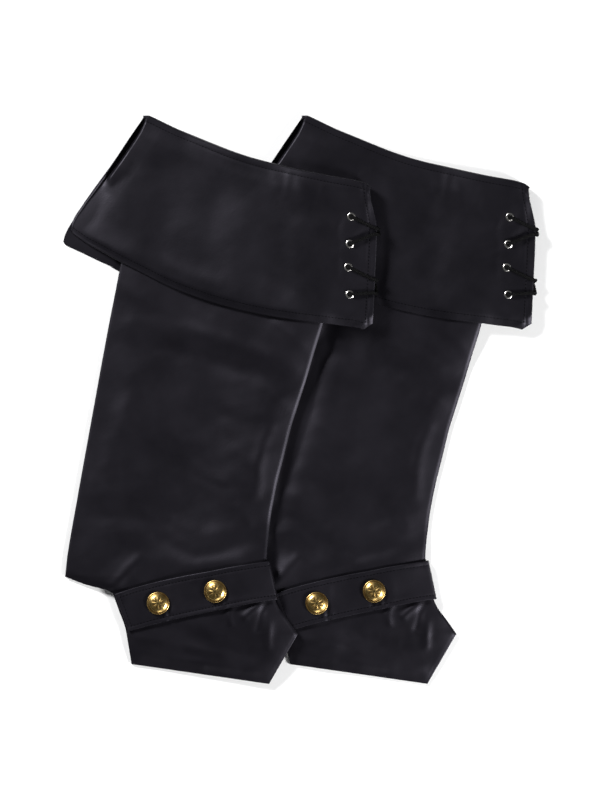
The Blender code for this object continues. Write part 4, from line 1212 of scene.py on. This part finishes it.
# Topstitching: black polyester thread in straight stitches about 3 mm long, sunk in the
# leather, along the cuffs' folds, laced edges and hems, and round the straps.
STITCH_LENGTH = 2.1
STITCH_PITCH = 3.0
THREAD_WIDTH = 0.6
STITCH_RISE = 0.05  # of a thread's middle over the bottom of its groove
THREAD = coated_leather(
    "thread", dark=(0.0004, 0.0004, 0.0005), light=(0.0008, 0.0008, 0.001), rough=(0.75, 0.85),
    crease_depth=0.5, gloss_level=0.06
)


def stitch_tree():
    """Stitches along a line: a small rounded thread at each step, turned to the line."""
    tree = bpy.data.node_groups.new("topstitching", "GeometryNodeTree")
    face = tree.interface
    face.new_socket("Line", in_out="INPUT", socket_type="NodeSocketGeometry")
    for name in ("Stitch length", "Stitch pitch", "Thread width"):
        face.new_socket(name, in_out="INPUT", socket_type="NodeSocketFloat")
    face.new_socket("Stitches", in_out="OUTPUT", socket_type="NodeSocketGeometry")
    nodes, links = tree.nodes, tree.links
    given, made = nodes.new("NodeGroupInput"), nodes.new("NodeGroupOutput")
    line = nodes.new("GeometryNodeMeshToCurve")
    steps = nodes.new("GeometryNodeResampleCurve")
    steps.mode = "LENGTH"
    way = nodes.new("GeometryNodeInputTangent")
    turn = nodes.new("FunctionNodeAlignRotationToVector")
    turn.axis = "Z"
    thread = nodes.new("GeometryNodeMeshUVSphere")
    thread.inputs["Segments"].default_value = 6
    thread.inputs["Rings"].default_value = 6
    thread.inputs["Radius"].default_value = 0.5
    size = nodes.new("ShaderNodeCombineXYZ")
    place = nodes.new("GeometryNodeInstanceOnPoints")
    real = nodes.new("GeometryNodeRealizeInstances")
    coat = nodes.new("GeometryNodeSetMaterial")
    coat.inputs["Material"].default_value = THREAD
    links.new(given.outputs["Line"], line.inputs["Mesh"])
    links.new(line.outputs["Curve"], steps.inputs["Curve"])
    links.new(given.outputs["Stitch pitch"], steps.inputs["Length"])
    links.new(way.outputs["Tangent"], turn.inputs["Vector"])
    links.new(given.outputs["Thread width"], size.inputs["X"])
    links.new(given.outputs["Thread width"], size.inputs["Y"])
    links.new(given.outputs["Stitch length"], size.inputs["Z"])
    links.new(steps.outputs["Curve"], place.inputs["Points"])
    links.new(thread.outputs["Mesh"], place.inputs["Instance"])
    links.new(turn.outputs["Rotation"], place.inputs["Rotation"])
    links.new(size.outputs["Vector"], place.inputs["Scale"])
    links.new(place.outputs["Instances"], real.inputs["Geometry"])
    links.new(real.outputs["Geometry"], coat.inputs["Geometry"])
    links.new(coat.outputs["Geometry"], made.inputs["Stitches"])
    return tree


STITCHES = stitch_tree()


def sew_stitches(name, lines):
    """Turn lines of surface points to one mesh of stitches."""
    points, edges = [], []
    for line in lines:
        first = len(points)
        points += [tuple(p) for p in np.asarray(line) * MM]
        edges += [(i, i + 1) for i in range(first, len(points) - 1)]
    mesh = bpy.data.meshes.new(name)
    mesh.from_pydata(points, edges, [])
    seams = bpy.data.objects.new(name, mesh)
    bpy.context.collection.objects.link(seams)
    rule = seams.modifiers.new("topstitching", "NODES")
    rule.node_group = STITCHES
    sizes = {
        "Stitch length": STITCH_LENGTH * MM,
        "Stitch pitch": STITCH_PITCH * MM,
        "Thread width": THREAD_WIDTH * MM,
    }
    for socket in STITCHES.interface.items_tree:
        if socket.in_out == "INPUT" and socket.name in sizes:
            rule[socket.identifier] = sizes[socket.name]
    bpy.context.view_layer.update()
    sewn = seams.evaluated_get(bpy.context.evaluated_depsgraph_get())
    done = bpy.data.meshes.new_from_object(sewn)
    seams.modifiers.clear()
    seams.data = done
    done.shade_smooth()
    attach(seams, "root")
    return seams


def nearest(values, wanted):
    """Place in a row of values of the one nearest to the wanted value."""
    return int(np.argmin(abs(np.asarray(values) - wanted)))


def stitch_cuff(cover, side, plan, surface):
    """Stitch lines of one cuff half: below the fold, beside the laced edge, above the hem."""
    rise = STITCH_RISE if side == "outer" else -STITCH_RISE
    down, along = running_down(plan), running(plan)
    fold = nearest(down[:, 40], FOLD_STITCH)
    hem = nearest(down[-1, 40] - down[:, 40], HEM_STITCH)
    laced = nearest(along[20, -1] - along[20], LACED_STITCH)
    lines = [surface[fold, 6:laced + 1], surface[hem, 4:laced + 1], surface[fold:hem + 1, laced]]
    return [line + (0, 0, rise) for line in lines]


def stitch_strap(surface):
    """Stitch lines round the strap's upper run, 4 mm in."""
    plan = surface[..., :2]
    along, down = running(plan), running_down(plan)
    rear = nearest(along[20], STRAP_STITCH)
    front = nearest(along[20, -1] - along[20], STRAP_STITCH)
    end = nearest(down[:, 5], STRAP_END_ROWS[5])
    lines = [surface[end:, rear], surface[end:, front], surface[end, rear:front + 1]]
    return [line + (0, 0, STITCH_RISE) for line in lines]


# The pair laid out: the right cover goes down first and the left one lies on it. In each the
# strap's lower run and the inner cuff are lowest, then the two leg panels, the outer cuff
# and the strap's upper run, and the trims go on last.
pile = Pile()
for cover in ("right", "left"):
    strap_low = lay_strap_low(cover, pile)
    inner_plan, cuff_inner = lay_cuff_inner(cover, pile)
    leg_inner = lay_leg_inner(cover, pile)
    leg_outer = lay_leg_outer(cover, pile)
    outer_plan, cuff_outer = lay_cuff_outer(cover, pile, cuff_inner)
    strap_high = lay_strap_high(cover, pile)
    sew_strap(cover, strap_low, strap_high)
    cuff_top = cuff_outer + (0, 0, WALL)
    face = cuff_top.copy()
    face[..., 2] += cuff_relief(outer_plan)
    turn_out, turn_in = cuff_turn(face, leg_outer, "outer")
    outside, inside = np.vstack([turn_out, face]), np.vstack([turn_in, cuff_outer])
    sew_cuff(cover, "outer", outside, inside, cuff_top)
    back = cuff_inner.copy()
    back[..., 2] -= np.minimum(0, cuff_relief(inner_plan))
    turn_out, turn_in = cuff_turn(back, leg_inner, "inner")
    cuff_inner_top = cuff_inner + (0, 0, WALL)
    outside, inside = np.vstack([turn_out, back]), np.vstack([turn_in, cuff_inner_top])
    sew_cuff(cover, "inner", outside, inside, cuff_inner_top)
    for spot in BUTTONS:
        set_button(cover, spot, strap_high)
    set_eyelets(cover, "outer", cuff_top)
    set_eyelets(cover, "inner", cuff_inner_top)
    thread_lace(cover, cuff_top, cuff_inner_top)
    lines = stitch_cuff(cover, "outer", outer_plan, face) + stitch_cuff(cover, "inner", inner_plan, back)
    sew_stitches(f"{cover}_topstitching", lines + stitch_strap(strap_high))

# Table, light and camera: a plain pale surface, two large soft lights with a faint third in
# front, and a camera straight above, 6 m up, so the frame is 540 mm by 720 mm.
bpy.ops.mesh.primitive_plane_add(size=6)
table = bpy.context.object
table.name = "table_top"
table.data.transform(Matrix.Translation((0, 0, -0.0003)))
paper = bpy.data.materials.new("pale_paper")
paper.use_nodes = True
paper.node_tree.nodes["Principled BSDF"].inputs["Base Color"].default_value = (0.86, 0.86, 0.86, 1)
paper.node_tree.nodes["Principled BSDF"].inputs["Roughness"].default_value = 0.9
table.data.materials.append(paper)


def soft_light(name, place, size, watts):
    """Large soft box turned to the middle of the table."""
    lamp = bpy.data.lights.new(name, "AREA")
    lamp.shape = "RECTANGLE"
    lamp.size, lamp.size_y = size
    lamp.energy = watts
    made = bpy.data.objects.new(name, lamp)
    made.location = place
    made.rotation_euler = (-Vector(place)).to_track_quat("-Z", "Y").to_euler()
    bpy.context.collection.objects.link(made)


soft_light("key_left", (-1.65, 1.65, 1.5), (0.75, 0.65), 135)
soft_light("fill_right", (1.85, -1.1, 1.4), (0.75, 0.65), 96)
soft_light("low_front", (0.3, -2.3, 0.95), (0.8, 0.4), 8)

sky = bpy.data.worlds.new("studio")
sky.use_nodes = True
sky.node_tree.nodes["Background"].inputs["Color"].default_value = (0.95, 0.97, 1.0, 1)
sky.node_tree.nodes["Background"].inputs["Strength"].default_value = 0.06
bpy.context.scene.world = sky
bpy.context.scene.view_settings.view_transform = "Standard"

eye = bpy.data.cameras.new("overhead")
eye.lens = 300
eye.sensor_fit = "VERTICAL"
eye.sensor_height = 36
camera = bpy.data.objects.new("overhead", eye)
camera.location = (-0.00084, -0.00019, 6.0)
bpy.context.collection.objects.link(camera)
bpy.context.scene.camera = camera
